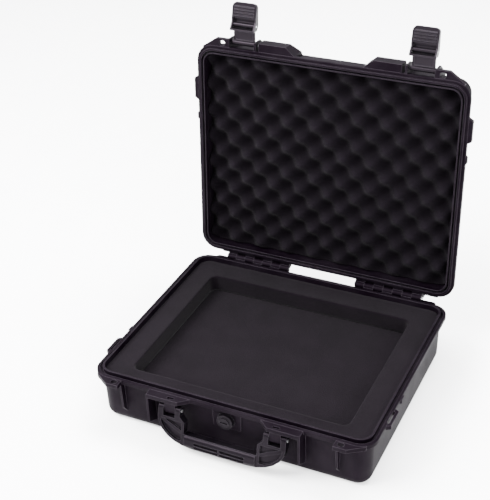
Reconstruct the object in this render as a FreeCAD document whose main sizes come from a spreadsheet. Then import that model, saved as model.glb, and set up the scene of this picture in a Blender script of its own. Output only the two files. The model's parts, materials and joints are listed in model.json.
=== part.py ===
import FreeCAD, Part
import math
import os
import Sketcher
from FreeCAD import Placement, Rotation, Vector

# A moulded hard case for a laptop, open: base, lid on a pinned hinge, two
# latches of link and lever on the lid, a swinging carry handle and a vent valve.
# Frame: origin on the floor under the middle of the rim, +X to the right,
# +Y to the hinges, +Z up. The lid is drawn closed and then turned open.

# Driving dimensions, in millimetres and degrees
DIMENSIONS = {
    # outer form
    "rim_width": 460, "rim_depth": 377, "rim_corner": 28,
    "base_height": 88, "lid_height": 52,
    "flange": 8, "wall_recess": 8, "wall": 3.2, "wall_corner": 24,
    "inner_corner": 19, "draft_deg": 1.5,
    "base_round": 15, "inner_round": 11, "lid_bevel": 11, "bevel_deg": 45,
    "edge_round": 1.2,
    "parting_gap": 0.6, "overrun": 2, "open_deg": 93.24,
    # rim section: land, groove, tongue on the base; ridge, seal, lip on the lid
    "land": 4.4, "groove_width": 4.2, "groove_depth": 4, "tongue_height": 3.4,
    "rim_play": 0.5, "ridge_height": 3.2, "seal_depth": 6.4, "seal_cord": 2.6,
    "lip_width": 1.7, "lip_height": 2.4, "seal_play": 0.3,
    # hinge
    "hinge_offset": 8.3, "hinge_inner": 61, "hinge_outer": 178,
    "knuckle_radius": 5, "knuckle_gap": 0.4,
    "hinge_pin_radius": 2, "pin_play": 0.05, "pin_end": 1.2, "hinge_ledge": 4.5,
    # rear feet, which also stop the open lid
    "foot_out": 14.5, "foot_root": 98, "foot_inner": 108, "foot_outer": 199,
    "foot_shoulder": 212, "foot_rise": 16, "foot_step": 15.5, "stop_gap": 0.3,
    "foot_slot_width": 6, "foot_slot_pitch": 13, "foot_slot_middle": 152,
    "foot_slot_depth": 22, "foot_slot_side": 3.2,
    "foot_bevel": 6, "stop_outer": 178, "foot_clear": 1.5,
    # front blocks
    "block_out": 13.3, "block_inset": 1, "plate": 7,
    "shoulder_foot": 58, "shoulder_inner": 73, "rib_outer": 125, "rib": 3,
    "lug_inner": 175, "lug_outer": 195, "lug_end": 219, "lug_end_out": 3,
    "rib_toe": 22, "rib_slope": 12, "lug_rib_out": 2.5, "lug_rib_in": 0.5, "skin": 2.6,
    "block_round": 1.6,
    "eye_middle": 184.5, "eye_out": 6, "eye_width": 10, "eye_length": 8.4,
    "eye_round": 3,
    "core_middle": 86, "core_width": 11, "core_length": 5,
    "shoulder_end": 119.5, "shoulder_high": 21, "shoulder_slope": 16,
    # side tabs with strap slots
    "tab_middle": 111, "tab_length": 42, "tab_out": 6.5, "tab_slope": 4,
    "strap_slot_length": 28, "strap_slot_width": 3.6, "strap_slot_in": 1.4,
    "side_bump_middle": 62, "side_bump_length": 14, "side_bump_out": 2.2,
    # fields of grooves outside
    "field_margin": 8, "rib_pitch": 8.4, "rib_groove": 3.6, "rib_deep": 1.3,
    "frame_groove": 2.4, "plate_width": 112, "plate_length": 62,
    "skid_pitch": 34, "skid_groove": 9, "skid_deep": 1.2, "skid_margin": 44,
    # foam
    "foam_play": 0.4, "foam_drop": 5, "foam_pad": 51.5, "foam_gap": 0.3,
    "bay_width": 357, "bay_length": 283, "bay_corner": 12, "bay_back": 54,
    "valve_relief": 34, "valve_relief_deep": 9,
    "crate_slab": 22.1, "crate_pitch_x": 49, "crate_pitch_y": 47,
    "crate_foot": 19, "crate_tip": 7, "crate_drop": 7.4,
    # handle
    "pivot_out": 7.5, "pivot_drop": 20,
    "handle_half": 104, "ear_inner": 68, "ear": 8.2, "handle_deg": 13.5,
    "tongue_half": 9, "tongue_low": 9, "arm_inner": 60, "fork_depth": 11.5,
    "grip_near": 34, "grip_far": 54.6, "arch": 2, "grip_half": 58,
    "bend_in": 12, "arm_length": 14, "handle_thick": 13, "grip_thick": 18, "grip_round": 7,
    "rail": 4, "web_deep": 4.6, "grip_slot": 4.4, "grip_slot_length": 40,
    "grip_slot_deep": 4.5, "lattice_rib": 2.8, "handle_pin_radius": 2.5,
    # latches
    "latch_middle": 150, "latch_pin_out": 6.5, "latch_pin_rise": 14,
    "latch_pin_radius": 2, "latch_barrel": 4.6, "latch_barrel_width": 42,
    "link_width": 37, "link_length": 30, "link_thick": 3.6, "link_back": 1,
    "link_end_radius": 4, "lever_pin_radius": 1.5, "lever_side": 2.4,
    "lever_play": 0.4, "lever_length": 66, "lever_face": 5, "lever_thick": 2.6,
    "lever_start": 5, "lip_out": 4, "lip_start": 2.2,
    "claw_gap": 0.4, "claw_thick": 3.2, "claw_reach": 10.4, "claw_back": 2.6,
    "thumb_start": 12, "thumb_round": 8, "ridge_pitch": 4.6,
    "thumb_ridge": 2.4, "thumb_ridge_high": 1.3, "latch_deg": 90,
    "lever_toe": 2.6, "latch_rib": 3,
    # vent valve
    "valve_drop": 24, "valve_pad_width": 46, "valve_pad_high": 34,
    "valve_pad": 2.2, "valve_stem": 8, "valve_flange": 14.2,
    "valve_flange_thick": 1.6, "valve_gasket": 1.2, "valve_nut_flat": 11.5,
    "valve_nut_thick": 4.5, "valve_bore": 3, "knob_radius": 12.6,
    "knob_thick": 5.4, "button_radius": 8, "button_high": 1.8, "coin_slot": 2.6,
    "coin_slot_length": 12, "knob_gap": 0.3, "knob_stem": 8,
}


class Size:
    """A length or angle: its value now and the expression that gives it."""

    def __init__(self, value, text):
        self.value = value
        self.text = text

    def _join(self, other, sign, value):
        return Size(value, "(%s %s %s)" % (self.text, sign, other.text))

    def __add__(self, other):
        other = as_size(other)
        return self._join(other, "+", self.value + other.value)

    def __sub__(self, other):
        other = as_size(other)
        return self._join(other, "-", self.value - other.value)

    def __rsub__(self, other):
        return as_size(other) - self

    def __mul__(self, other):
        other = as_size(other)
        return self._join(other, "*", self.value * other.value)

    def __truediv__(self, other):
        other = as_size(other)
        return self._join(other, "/", self.value / other.value)

    def __neg__(self):
        return Size(-self.value, "(0 - %s)" % self.text)

    __radd__ = __add__
    __rmul__ = __mul__


def as_size(number):
    """A plain factor or zero as a Size."""
    if isinstance(number, Size):
        return number
    return Size(float(number), repr(number))


def sine(angle):
    return Size(math.sin(math.radians(angle.value)), "sin(%s * 1 deg)" % angle.text)


def cosine(angle):
    return Size(math.cos(math.radians(angle.value)), "cos(%s * 1 deg)" % angle.text)


def tangent(angle):
    return Size(math.tan(math.radians(angle.value)), "tan(%s * 1 deg)" % angle.text)


doc = FreeCAD.newDocument("LaptopCase")
sheet = doc.addObject("Spreadsheet::Sheet", "Dims")
for row, (name, number) in enumerate(DIMENSIONS.items(), start=1):
    cell = "A%d" % row
    sheet.set(cell, str(number))
    sheet.setAlias(cell, name)
doc.recompute()


class Dims:
    """Each driving dimension as a Size bound to its cell."""


for name, number in DIMENSIONS.items():
    setattr(Dims, name, Size(float(number), "Dims." + name))
D = Dims
ZERO = as_size(0)

# Levels and lines that several pieces share
HALF_WIDTH = D.rim_width / 2
HALF_DEPTH = D.rim_depth / 2
FRONT = -HALF_DEPTH
PARTING = D.base_height
LID_FACE = D.base_height + D.parting_gap
LID_TOP = LID_FACE + D.lid_height
UNDER_FLANGE = PARTING - D.flange
OVER_FLANGE = LID_FACE + D.flange
INNER_INSET = D.wall_recess + D.wall
GROOVE_END = D.land + D.groove_width
HINGE_Y = HALF_DEPTH + D.hinge_offset
BLOCK_FRONT = FRONT - D.block_out
BLOCK_TOP = PARTING - D.block_inset
BLOCK_UNDER = BLOCK_TOP - D.plate
LID_BLOCK_FACE = LID_FACE + D.block_inset
WALL_FRONT = FRONT + D.wall_recess
FOOT_FACE = HALF_DEPTH + D.foot_out
FOOT_BEYOND = D.foot_out - D.hinge_offset
FOOT_TOP = PARTING - FOOT_BEYOND * tangent(D.open_deg / 2) - D.stop_gap
PIVOT_Y = FRONT - D.pivot_out
PIVOT_Z = PARTING - D.pivot_drop
LATCH_PIN_Y = FRONT - D.latch_pin_out
LATCH_PIN_Z = PARTING + D.latch_pin_rise
VALVE_Z = PARTING - D.valve_drop
FOAM_TOP = PARTING - D.foam_drop
FOAM_SPLIT = D.wall + D.foam_gap + D.foam_pad


def set_size(thing, path, size):
    """Bind one property to the sheet."""
    thing.setExpression(path, size.text)


def new_body(label):
    body = doc.addObject("PartDesign::Body", label)
    body.Label = label
    return body


def origin_plane(body, role):
    return next(f for f in body.Origin.OriginFeatures if f.Role == role)


def new_sketch(body, name, role, level=None):
    """A sketch on one of the body's own planes, lifted along its normal."""
    sketch = body.newObject("Sketcher::SketchObject", name)
    sketch.AttachmentSupport = [(origin_plane(body, role), "")]
    sketch.MapMode = "FlatFace"
    if level is not None:
        sketch.AttachmentOffset = Placement(Vector(0, 0, level.value), Rotation())
        set_size(sketch, "AttachmentOffset.Base.z", level)
    return sketch


def hold(sketch, kind, geometry, vertex, size):
    """Tie a vertex to the origin by one distance from the sheet."""
    index = sketch.addConstraint(Sketcher.Constraint(kind, -1, 1, geometry, vertex, size.value))
    set_size(sketch, "Constraints[%d]" % index, size)


def outline(sketch, points):
    """A closed run of straight lines through the given points."""
    first = sketch.GeometryCount
    ends = points[1:] + points[:1]
    for start, end in zip(points, ends):
        a = Vector(start[0].value, start[1].value, 0)
        b = Vector(end[0].value, end[1].value, 0)
        sketch.addGeometry(Part.LineSegment(a, b), False)
    count = len(points)
    for i in range(count):
        line = first + i
        follower = first + (i + 1) % count
        sketch.addConstraint(Sketcher.Constraint("Coincident", line, 2, follower, 1))
    for i, (x, y) in enumerate(points):
        hold(sketch, "DistanceX", first + i, 1, x)
        hold(sketch, "DistanceY", first + i, 1, y)
    return sketch


def circle(sketch, x, y, radius):
    """A circle held at a point."""
    index = sketch.GeometryCount
    centre = Vector(x.value, y.value, 0)
    sketch.addGeometry(Part.Circle(centre, Vector(0, 0, 1), radius.value), False)
    hold(sketch, "DistanceX", index, 3, x)
    hold(sketch, "DistanceY", index, 3, y)
    tie = sketch.addConstraint(Sketcher.Constraint("Radius", index, radius.value))
    set_size(sketch, "Constraints[%d]" % tie, radius)
    return sketch


def rounded(sketch, x0, y0, x1, y1, radius):
    """A rectangle between two corners, with round corners."""
    r = radius.value
    left, low, right, high = x0.value, y0.value, x1.value, y1.value
    first = sketch.GeometryCount
    corners = [((right - r, low + r), -90), ((right - r, high - r), 0),
               ((left + r, high - r), 90), ((left + r, low + r), 180)]
    runs = [((left + r, low), (right - r, low)), ((right, low + r), (right, high - r)),
            ((right - r, high), (left + r, high)), ((left, high - r), (left, low + r))]
    for run, (centre, start) in zip(runs, corners):
        a, b = (Vector(p[0], p[1], 0) for p in run)
        sketch.addGeometry(Part.LineSegment(a, b), False)
        ring = Part.Circle(Vector(centre[0], centre[1], 0), Vector(0, 0, 1), r)
        begin, end = math.radians(start), math.radians(start + 90)
        sketch.addGeometry(Part.ArcOfCircle(ring, begin, end), False)
    for i in range(4):
        line, arc = first + 2 * i, first + 2 * i + 1
        follower = first + (2 * i + 2) % 8
        sketch.addConstraint(Sketcher.Constraint("Tangent", line, 2, arc, 1))
        sketch.addConstraint(Sketcher.Constraint("Tangent", arc, 2, follower, 1))
        sketch.addConstraint(Sketcher.Constraint("Vertical" if i % 2 else "Horizontal", line))
        if i:
            sketch.addConstraint(Sketcher.Constraint("Equal", first + 1, arc))
    tie = sketch.addConstraint(Sketcher.Constraint("Radius", first + 1, r))
    set_size(sketch, "Constraints[%d]" % tie, radius)
    hold(sketch, "DistanceY", first, 1, y0)
    hold(sketch, "DistanceX", first + 2, 1, x1)
    hold(sketch, "DistanceY", first + 4, 1, y1)
    hold(sketch, "DistanceX", first + 6, 1, x0)
    return sketch


def rim_loop(sketch, inset, radius):
    """The rim's outline, moved inwards by an inset."""
    x, y = HALF_WIDTH - inset, HALF_DEPTH - inset
    return rounded(sketch, -x, -y, x, y, radius)


def pad(body, name, sketch, length, back=False, both=False, taper=None):
    """Raise a sketch into a solid; back means against its normal."""
    feature = body.newObject("PartDesign::Pad", name)
    feature.Profile = sketch
    set_size(feature, "Length", length)
    feature.Reversed = back
    feature.Midplane = both
    if taper is not None:
        set_size(feature, "TaperAngle", taper)
    return feature


def pocket(body, name, sketch, length, forward=False, both=False, taper=None):
    """Cut a sketch away; forward means along its normal."""
    feature = body.newObject("PartDesign::Pocket", name)
    feature.Profile = sketch
    set_size(feature, "Length", length)
    feature.Reversed = forward
    feature.Midplane = both
    if taper is not None:
        set_size(feature, "TaperAngle", taper)
    return feature


def pocket_through(body, name, sketch):
    """Cut a sketch away right through the body, both ways."""
    feature = body.newObject("PartDesign::Pocket", name)
    feature.Profile = sketch
    feature.Type = 1
    feature.Midplane = True
    return feature


def mirror_sides(body, name, features):
    """Repeat features on the other side of the middle plane."""
    feature = body.newObject("PartDesign::Mirrored", name)
    feature.Originals = features
    feature.MirrorPlane = (origin_plane(body, "YZ_Plane"), [""])
    body.Tip = feature
    return feature


def repeat(body, name, features, axis_role, pitch, count, back=False):
    """Repeat features in a line, a pitch apart."""
    feature = body.newObject("PartDesign::LinearPattern", name)
    feature.Originals = features
    feature.Direction = (origin_plane(body, axis_role), [""])
    feature.Reversed = back
    set_size(feature, "Length", pitch * (count - 1))
    feature.Occurrences = count
    body.Tip = feature
    return feature


def dress(body, name, kind, base, size, wanted):
    """Round or bevel those edges of a feature that a test picks."""
    doc.recompute()
    names = ["Edge%d" % (i + 1) for i, edge in enumerate(base.Shape.Edges) if wanted(edge)]
    feature = body.newObject("PartDesign::" + kind, name)
    feature.Base = (base, names)
    set_size(feature, "Radius" if kind == "Fillet" else "Size", size)
    return feature


def level_edge(height):
    """A test for edges that lie flat at one height."""
    def test(edge):
        box = edge.BoundBox
        return abs(box.ZMin - height.value) < SNAP and abs(box.ZMax - height.value) < SNAP
    return test


SNAP = 1e-4
PIECES = []


def keep(body, label=None):
    """Note a finished piece; its label names its file."""
    if label:
        body.Label = label
    PIECES.append(body)
    return body


def turn_about(body, y, z, degrees):
    """Turn a piece about a line along X, front edge upwards."""
    turn = Rotation(Vector(-1, 0, 0), degrees.value)
    body.Placement = Placement(Vector(), turn, Vector(0, y.value, z.value))
    text = "placement(vector(0; 0; 0); rotation(vector(-1; 0; 0); %s * 1 deg); vector(0; %s; %s))"
    body.setExpression("Placement", text % (degrees.text, y.text, z.text))


def open_lid(body):
    """Turn a piece drawn closed about the hinge line to where the open lid holds it."""
    turn_about(body, HINGE_Y, PARTING, D.open_deg)


# Base shell: a tub with a thick rim, moulded in one piece with its front blocks,
# handle tongues, rear feet, strap tabs and hinge knuckles
def tub(body, depth, back):
    """The outer wall with draft; drawn at the flange, and run away from the rim."""
    level = UNDER_FLANGE if back else OVER_FLANGE
    plan = rim_loop(new_sketch(body, "WallPlan", "XY_Plane", level), D.wall_recess, D.wall_corner)
    return pad(body, "Wall", plan, depth, back=back, taper=-D.draft_deg)


def block_profile(wall, top_front, foot_front):
    """Side view of a rib under a front block: an upright edge and a short slope at its toe."""
    return [(wall, BLOCK_UNDER), (top_front, BLOCK_UNDER),
            (foot_front, D.rib_toe + D.rib_slope), (wall, D.rib_toe)]


def lug_plan(sketch, wall):
    """Plan of a corner lug: flat in front, then sloping to the rounded corner."""
    return outline(sketch, [(D.lug_inner, wall), (D.lug_inner, BLOCK_FRONT),
                            (D.lug_outer, BLOCK_FRONT), (D.lug_end, FRONT + D.lug_end_out),
                            (D.lug_end, wall)])


def base_lug(body, wall):
    """Corner lug of the base with its padlock eye, and the rib under its inner edge."""
    plan = lug_plan(new_sketch(body, "LugPlan", "XY_Plane", BLOCK_TOP), wall)
    lug = pad(body, "Lug", plan, D.plate, back=True)
    side = new_sketch(body, "LugRibSide", "YZ_Plane", D.lug_inner)
    outline(side, block_profile(wall, FRONT - D.lug_rib_out, FRONT + D.lug_rib_in))
    rib = pad(body, "LugRib", side, D.rib)
    eye = pocket(body, "LugEye", eye_plan(body, BLOCK_TOP), D.plate + D.overrun)
    return [lug, rib, eye]


def eye_plan(body, level):
    """The padlock eye: a short slot with round corners."""
    sketch = new_sketch(body, "EyePlan", "XY_Plane", level)
    middle = FRONT - D.eye_out
    return rounded(sketch, D.eye_middle - D.eye_width / 2, middle - D.eye_length / 2,
                   D.eye_middle + D.eye_width / 2, middle + D.eye_length / 2, D.eye_round)


def strap_tab(body, level, back, slotted=False):
    """Tab on the side of the rim, where asked with a slot for a strap, and a small bump."""
    edge = HALF_WIDTH - D.wall_recess
    out = HALF_WIDTH + D.tab_out
    low, high = -D.tab_middle - D.tab_length / 2, -D.tab_middle + D.tab_length / 2
    plan = new_sketch(body, "TabPlan", "XY_Plane", level)
    outline(plan, [(edge, low), (HALF_WIDTH, low), (out, low + D.tab_slope),
                   (out, high - D.tab_slope), (HALF_WIDTH, high), (edge, high)])
    features = [pad(body, "Tab", plan, D.plate, back=back)]
    if slotted:
        cut = new_sketch(body, "StrapSlotPlan", "XY_Plane", level)
        near = HALF_WIDTH - D.strap_slot_in
        rounded(cut, near, -D.tab_middle - D.strap_slot_length / 2, near + D.strap_slot_width,
                -D.tab_middle + D.strap_slot_length / 2, D.block_round)
        features.append(pocket(body, "StrapSlot", cut, D.flange * 4, both=True))
    low, high = (-D.side_bump_middle - D.side_bump_length / 2,
                 -D.side_bump_middle + D.side_bump_length / 2)
    out = HALF_WIDTH + D.side_bump_out
    bump_plan = new_sketch(body, "BumpPlan", "XY_Plane", level)
    outline(bump_plan, [(edge, low), (HALF_WIDTH, low), (out, low + D.side_bump_out),
                        (out, high - D.side_bump_out), (HALF_WIDTH, high), (edge, high)])
    features.append(pad(body, "Bump", bump_plan, D.plate, back=back))
    return features


def rear_foot(body, name, level, height, back, stop=False):
    """Rear foot block out to the rounded corner, or only its part beside the hinge."""
    wall = HALF_DEPTH - D.wall_recess - D.wall / 2
    plan = new_sketch(body, name + "Plan", "XY_Plane", level)
    end = [(D.foot_outer, FOOT_FACE), (D.foot_shoulder, HALF_DEPTH - D.overrun),
           (D.foot_shoulder, wall)]
    if stop:
        end = [(D.stop_outer, FOOT_FACE), (D.stop_outer, wall)]
    outline(plan, [(D.foot_root, wall), (D.foot_root, HALF_DEPTH - D.overrun),
                   (D.foot_inner, FOOT_FACE)] + end)
    return pad(body, name, plan, height, back=back)


def foot_cuts(body, end, bevel_end, forward):
    """Bevel along the far edge of a rear foot and the slots that core it out."""
    side = new_sketch(body, "FootBevelSide", "YZ_Plane", D.foot_root - D.overrun)
    past = end + (end - bevel_end)
    beyond = FOOT_FACE + D.foot_bevel
    outline(side, [(FOOT_FACE - D.foot_bevel * 2, past), (beyond, past), (beyond, bevel_end),
                   (FOOT_FACE, bevel_end), (FOOT_FACE - D.foot_bevel, end)])
    across = D.foot_shoulder - D.foot_root + D.overrun * 2
    cuts = [pocket(body, "FootBevel", side, across, forward=True)]
    for i in (-1, 0, 1):
        middle = D.foot_slot_middle + D.foot_slot_pitch * i
        plan = new_sketch(body, "FootSlotPlan%d" % (i + 2), "XY_Plane", end)
        near = HALF_DEPTH - D.wall_recess + D.foot_slot_side
        rounded(plan, middle - D.foot_slot_width / 2, near, middle + D.foot_slot_width / 2,
                FOOT_FACE - D.foot_slot_side, D.edge_round)
        cuts.append(pocket(body, "FootSlot%d" % (i + 2), plan, D.foot_slot_depth, forward=forward))
    return cuts


KNUCKLES = 7
KNUCKLE_PITCH = (D.hinge_outer - D.hinge_inner + D.knuckle_gap) / KNUCKLES
KNUCKLE = KNUCKLE_PITCH - D.knuckle_gap


def knuckles(body, index, count, web_low, web_high):
    """Every second hinge knuckle of both groups, each on a web from the rim."""
    for side, name in ((1, "Right"), (-1, "Left")):
        start = (D.hinge_inner + KNUCKLE_PITCH * index) * side
        ring = new_sketch(body, name + "KnuckleRing", "YZ_Plane", start)
        circle(ring, HINGE_Y, PARTING, D.knuckle_radius)
        barrel = pad(body, name + "Knuckle", ring, KNUCKLE, back=side < 0)
        web = new_sketch(body, name + "WebSide", "YZ_Plane", start)
        root = HALF_DEPTH - D.overrun
        outline(web, [(root, web_low), (HINGE_Y, web_low), (HINGE_Y, web_high), (root, web_high)])
        leaf = pad(body, name + "Web", web, KNUCKLE, back=side < 0)
        repeat(body, name + "Knuckles", [barrel, leaf], "X_Axis", KNUCKLE_PITCH * 2, count,
               back=side < 0)
    bore = new_sketch(body, "PinBoreRing", "YZ_Plane")
    circle(bore, HINGE_Y, PARTING, D.hinge_pin_radius + D.pin_play)
    body.Tip = pocket_through(body, "PinBore", bore)


BASE_LEDGE = PARTING - D.knuckle_radius - D.knuckle_gap
LID_LEDGE = PARTING + D.knuckle_radius + D.knuckle_gap


def hinge_ledges(body, level, back):
    """Ledges behind the rim, clear of the knuckles, as far as the rear feet."""
    plan = new_sketch(body, "LedgePlan", "XY_Plane", level)
    for side in (1, -1):
        near, far = D.hinge_inner * side, (D.foot_inner + D.overrun) * side
        outline(plan, [(near, HALF_DEPTH - D.overrun), (far, HALF_DEPTH - D.overrun),
                       (far, HINGE_Y), (near, HINGE_Y)])
    pad(body, "HingeLedge", plan, D.hinge_ledge, back=back)


SKIDS = 8


def skids(body):
    """Shallow grooves across the underside, clear of the middle."""
    plan = new_sketch(body, "SkidPlan", "XY_Plane", ZERO)
    middle = -D.skid_pitch * (SKIDS - 1) / 2
    reach = HALF_WIDTH - D.skid_margin
    rounded(plan, -reach, middle - D.skid_groove / 2, reach, middle + D.skid_groove / 2, D.rib)
    groove = pocket(body, "Skid", plan, D.skid_deep, forward=True)
    repeat(body, "Skids", [groove], "Y_Axis", D.skid_pitch, SKIDS)


def build_base_shell():
    body = new_body("base_shell")
    tub(body, UNDER_FLANGE, back=True)
    plan = rim_loop(new_sketch(body, "FlangePlan", "XY_Plane", UNDER_FLANGE), ZERO, D.rim_corner)
    flange = pad(body, "Flange", plan, D.flange)
    dress(body, "FlangeRound", "Fillet", flange, D.edge_round,
          lambda edge: edge.BoundBox.ZLength < SNAP and on_rim_edge(edge))

    # front blocks, on the right side, before they are mirrored
    rib_wall = WALL_FRONT + D.wall / 2
    sketch = new_sketch(body, "ShoulderPlan", "XY_Plane", BLOCK_UNDER)
    outline(sketch, [(D.shoulder_foot, rib_wall), (D.shoulder_foot, FRONT),
                     (D.shoulder_inner, BLOCK_FRONT), (D.rib_outer, BLOCK_FRONT),
                     (D.rib_outer, rib_wall)])
    shoulder = pad(body, "ShoulderPlate", sketch, D.plate)
    sketch = new_sketch(body, "ShoulderRibSide", "YZ_Plane", D.rib_outer - D.rib)
    outline(sketch, block_profile(rib_wall, BLOCK_FRONT, BLOCK_FRONT))
    rib = pad(body, "ShoulderRib", sketch, D.rib)
    sketch = new_sketch(body, "TongueSide", "YZ_Plane", D.core_middle - D.tongue_half)
    outline(sketch, [(rib_wall, BLOCK_UNDER), (BLOCK_FRONT + D.edge_round, BLOCK_UNDER),
                     (BLOCK_FRONT + D.edge_round, PIVOT_Z - D.tongue_low / 2),
                     (PIVOT_Y - D.tongue_low / 4, PIVOT_Z - D.tongue_low),
                     (PIVOT_Y + D.tongue_low / 2, PIVOT_Z - D.tongue_low),
                     (rib_wall, PIVOT_Z)])
    tongue = pad(body, "Tongue", sketch, D.tongue_half * 2)
    sketch = new_sketch(body, "TonguePin", "YZ_Plane", D.core_middle - D.tongue_half - D.overrun)
    circle(sketch, PIVOT_Y, PIVOT_Z, D.handle_pin_radius)
    tongue_bore = pocket(body, "TongueBore", sketch, (D.tongue_half + D.overrun) * 2, forward=True)
    sketch = new_sketch(body, "CorePlan", "XY_Plane", BLOCK_TOP)
    rounded(sketch, D.core_middle - D.core_width / 2, BLOCK_FRONT + D.rib,
            D.core_middle + D.core_width / 2, BLOCK_FRONT + D.rib + D.core_length, D.edge_round)
    core = pocket(body, "Core", sketch, D.plate / 2)
    sides = [shoulder, rib, tongue, tongue_bore, core] + base_lug(body, rib_wall)
    sides += strap_tab(body, BLOCK_TOP, back=True, slotted=True)
    foot_base = FOOT_TOP - D.foot_rise
    sides.append(rear_foot(body, "Foot", FOOT_TOP, foot_base, back=True))
    sides += foot_cuts(body, D.foot_rise, D.foot_rise + D.foot_bevel, forward=True)
    mirror_sides(body, "BothSides", sides)

    # valve pad on the middle of the front wall
    sketch = new_sketch(body, "ValvePad", "XZ_Plane", -(WALL_FRONT + D.wall / 2))
    rounded(sketch, -D.valve_pad_width / 2, VALVE_Z - D.valve_pad_high / 2,
            D.valve_pad_width / 2, VALVE_Z + D.valve_pad_high / 2, D.rib)
    pad(body, "ValveSeat", sketch, D.valve_pad + D.wall / 2)

    # hollow, tongue and groove of the rim
    inside = INNER_INSET
    sketch = rim_loop(new_sketch(body, "InsidePlan", "XY_Plane", PARTING), inside, D.inner_corner)
    hollow = pocket(body, "Inside", sketch, PARTING - D.wall, taper=-D.draft_deg)
    tray = dress(body, "InsideRound", "Fillet", hollow, D.inner_round, level_edge(D.wall))
    dress(body, "BottomRound", "Fillet", tray, D.base_round, level_edge(ZERO))
    sketch = new_sketch(body, "TonguePlan", "XY_Plane", PARTING)
    rim_loop(sketch, GROOVE_END, D.inner_corner + INNER_INSET - GROOVE_END)
    rim_loop(sketch, inside, D.inner_corner)
    pad(body, "RimTongue", sketch, D.tongue_height)
    sketch = new_sketch(body, "GroovePlan", "XY_Plane", PARTING)
    rim_loop(sketch, D.land, D.rim_corner - D.land)
    rim_loop(sketch, GROOVE_END, D.inner_corner + INNER_INSET - GROOVE_END)
    pocket(body, "RimGroove", sketch, D.groove_depth)

    # valve hole, hinge knuckles and the underside
    sketch = new_sketch(body, "ValveHole", "XZ_Plane", -WALL_FRONT + D.overrun * 4)
    circle(sketch, ZERO, VALVE_Z, D.valve_stem + D.pin_play)
    pocket(body, "ValveBore", sketch, D.wall_recess + D.wall * 2 + D.overrun * 4)
    hinge_ledges(body, BASE_LEDGE, back=True)
    knuckles(body, 1, 3, BASE_LEDGE - D.knuckle_gap, PARTING - D.parting_gap)
    skids(body)
    return keep(body)


def on_rim_edge(edge):
    """True for an edge that lies on the rim's outermost outline."""
    box = edge.BoundBox
    reach_x = max(abs(box.XMin), abs(box.XMax))
    reach_y = max(abs(box.YMin), abs(box.YMax))
    return (abs(reach_x - HALF_WIDTH.value) < SNAP or abs(reach_y - HALF_DEPTH.value) < SNAP)


# Lid shell: the same rim turned over, with a ribbed field on top
BAND_INSET = INNER_INSET + D.rim_play + D.lip_width
FIELD_X = HALF_WIDTH - D.wall_recess - D.lid_bevel - D.field_margin
FIELD_Y = HALF_DEPTH - D.wall_recess - D.lid_bevel - D.field_margin
INNER_BEVEL = D.lid_bevel - D.wall * (2 - math.sqrt(2))


def ring(body, name, level, outer, inner, height, back=False, cut=False):
    """A band that follows the rim between two insets, raised or cut."""
    sketch = new_sketch(body, name + "Plan", "XY_Plane", level)
    for inset in (outer, inner):
        rim_loop(sketch, inset, rim_radius(inset))
    if cut:
        return pocket(body, name, sketch, height, forward=not back)
    return pad(body, name, sketch, height, back=back)


def rim_radius(inset):
    """Corner radius of a line that keeps its distance from the rim's inner edge."""
    return D.inner_corner + (INNER_INSET - inset) * CORNER_SHARE


CORNER_SHARE = 0.8


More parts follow.
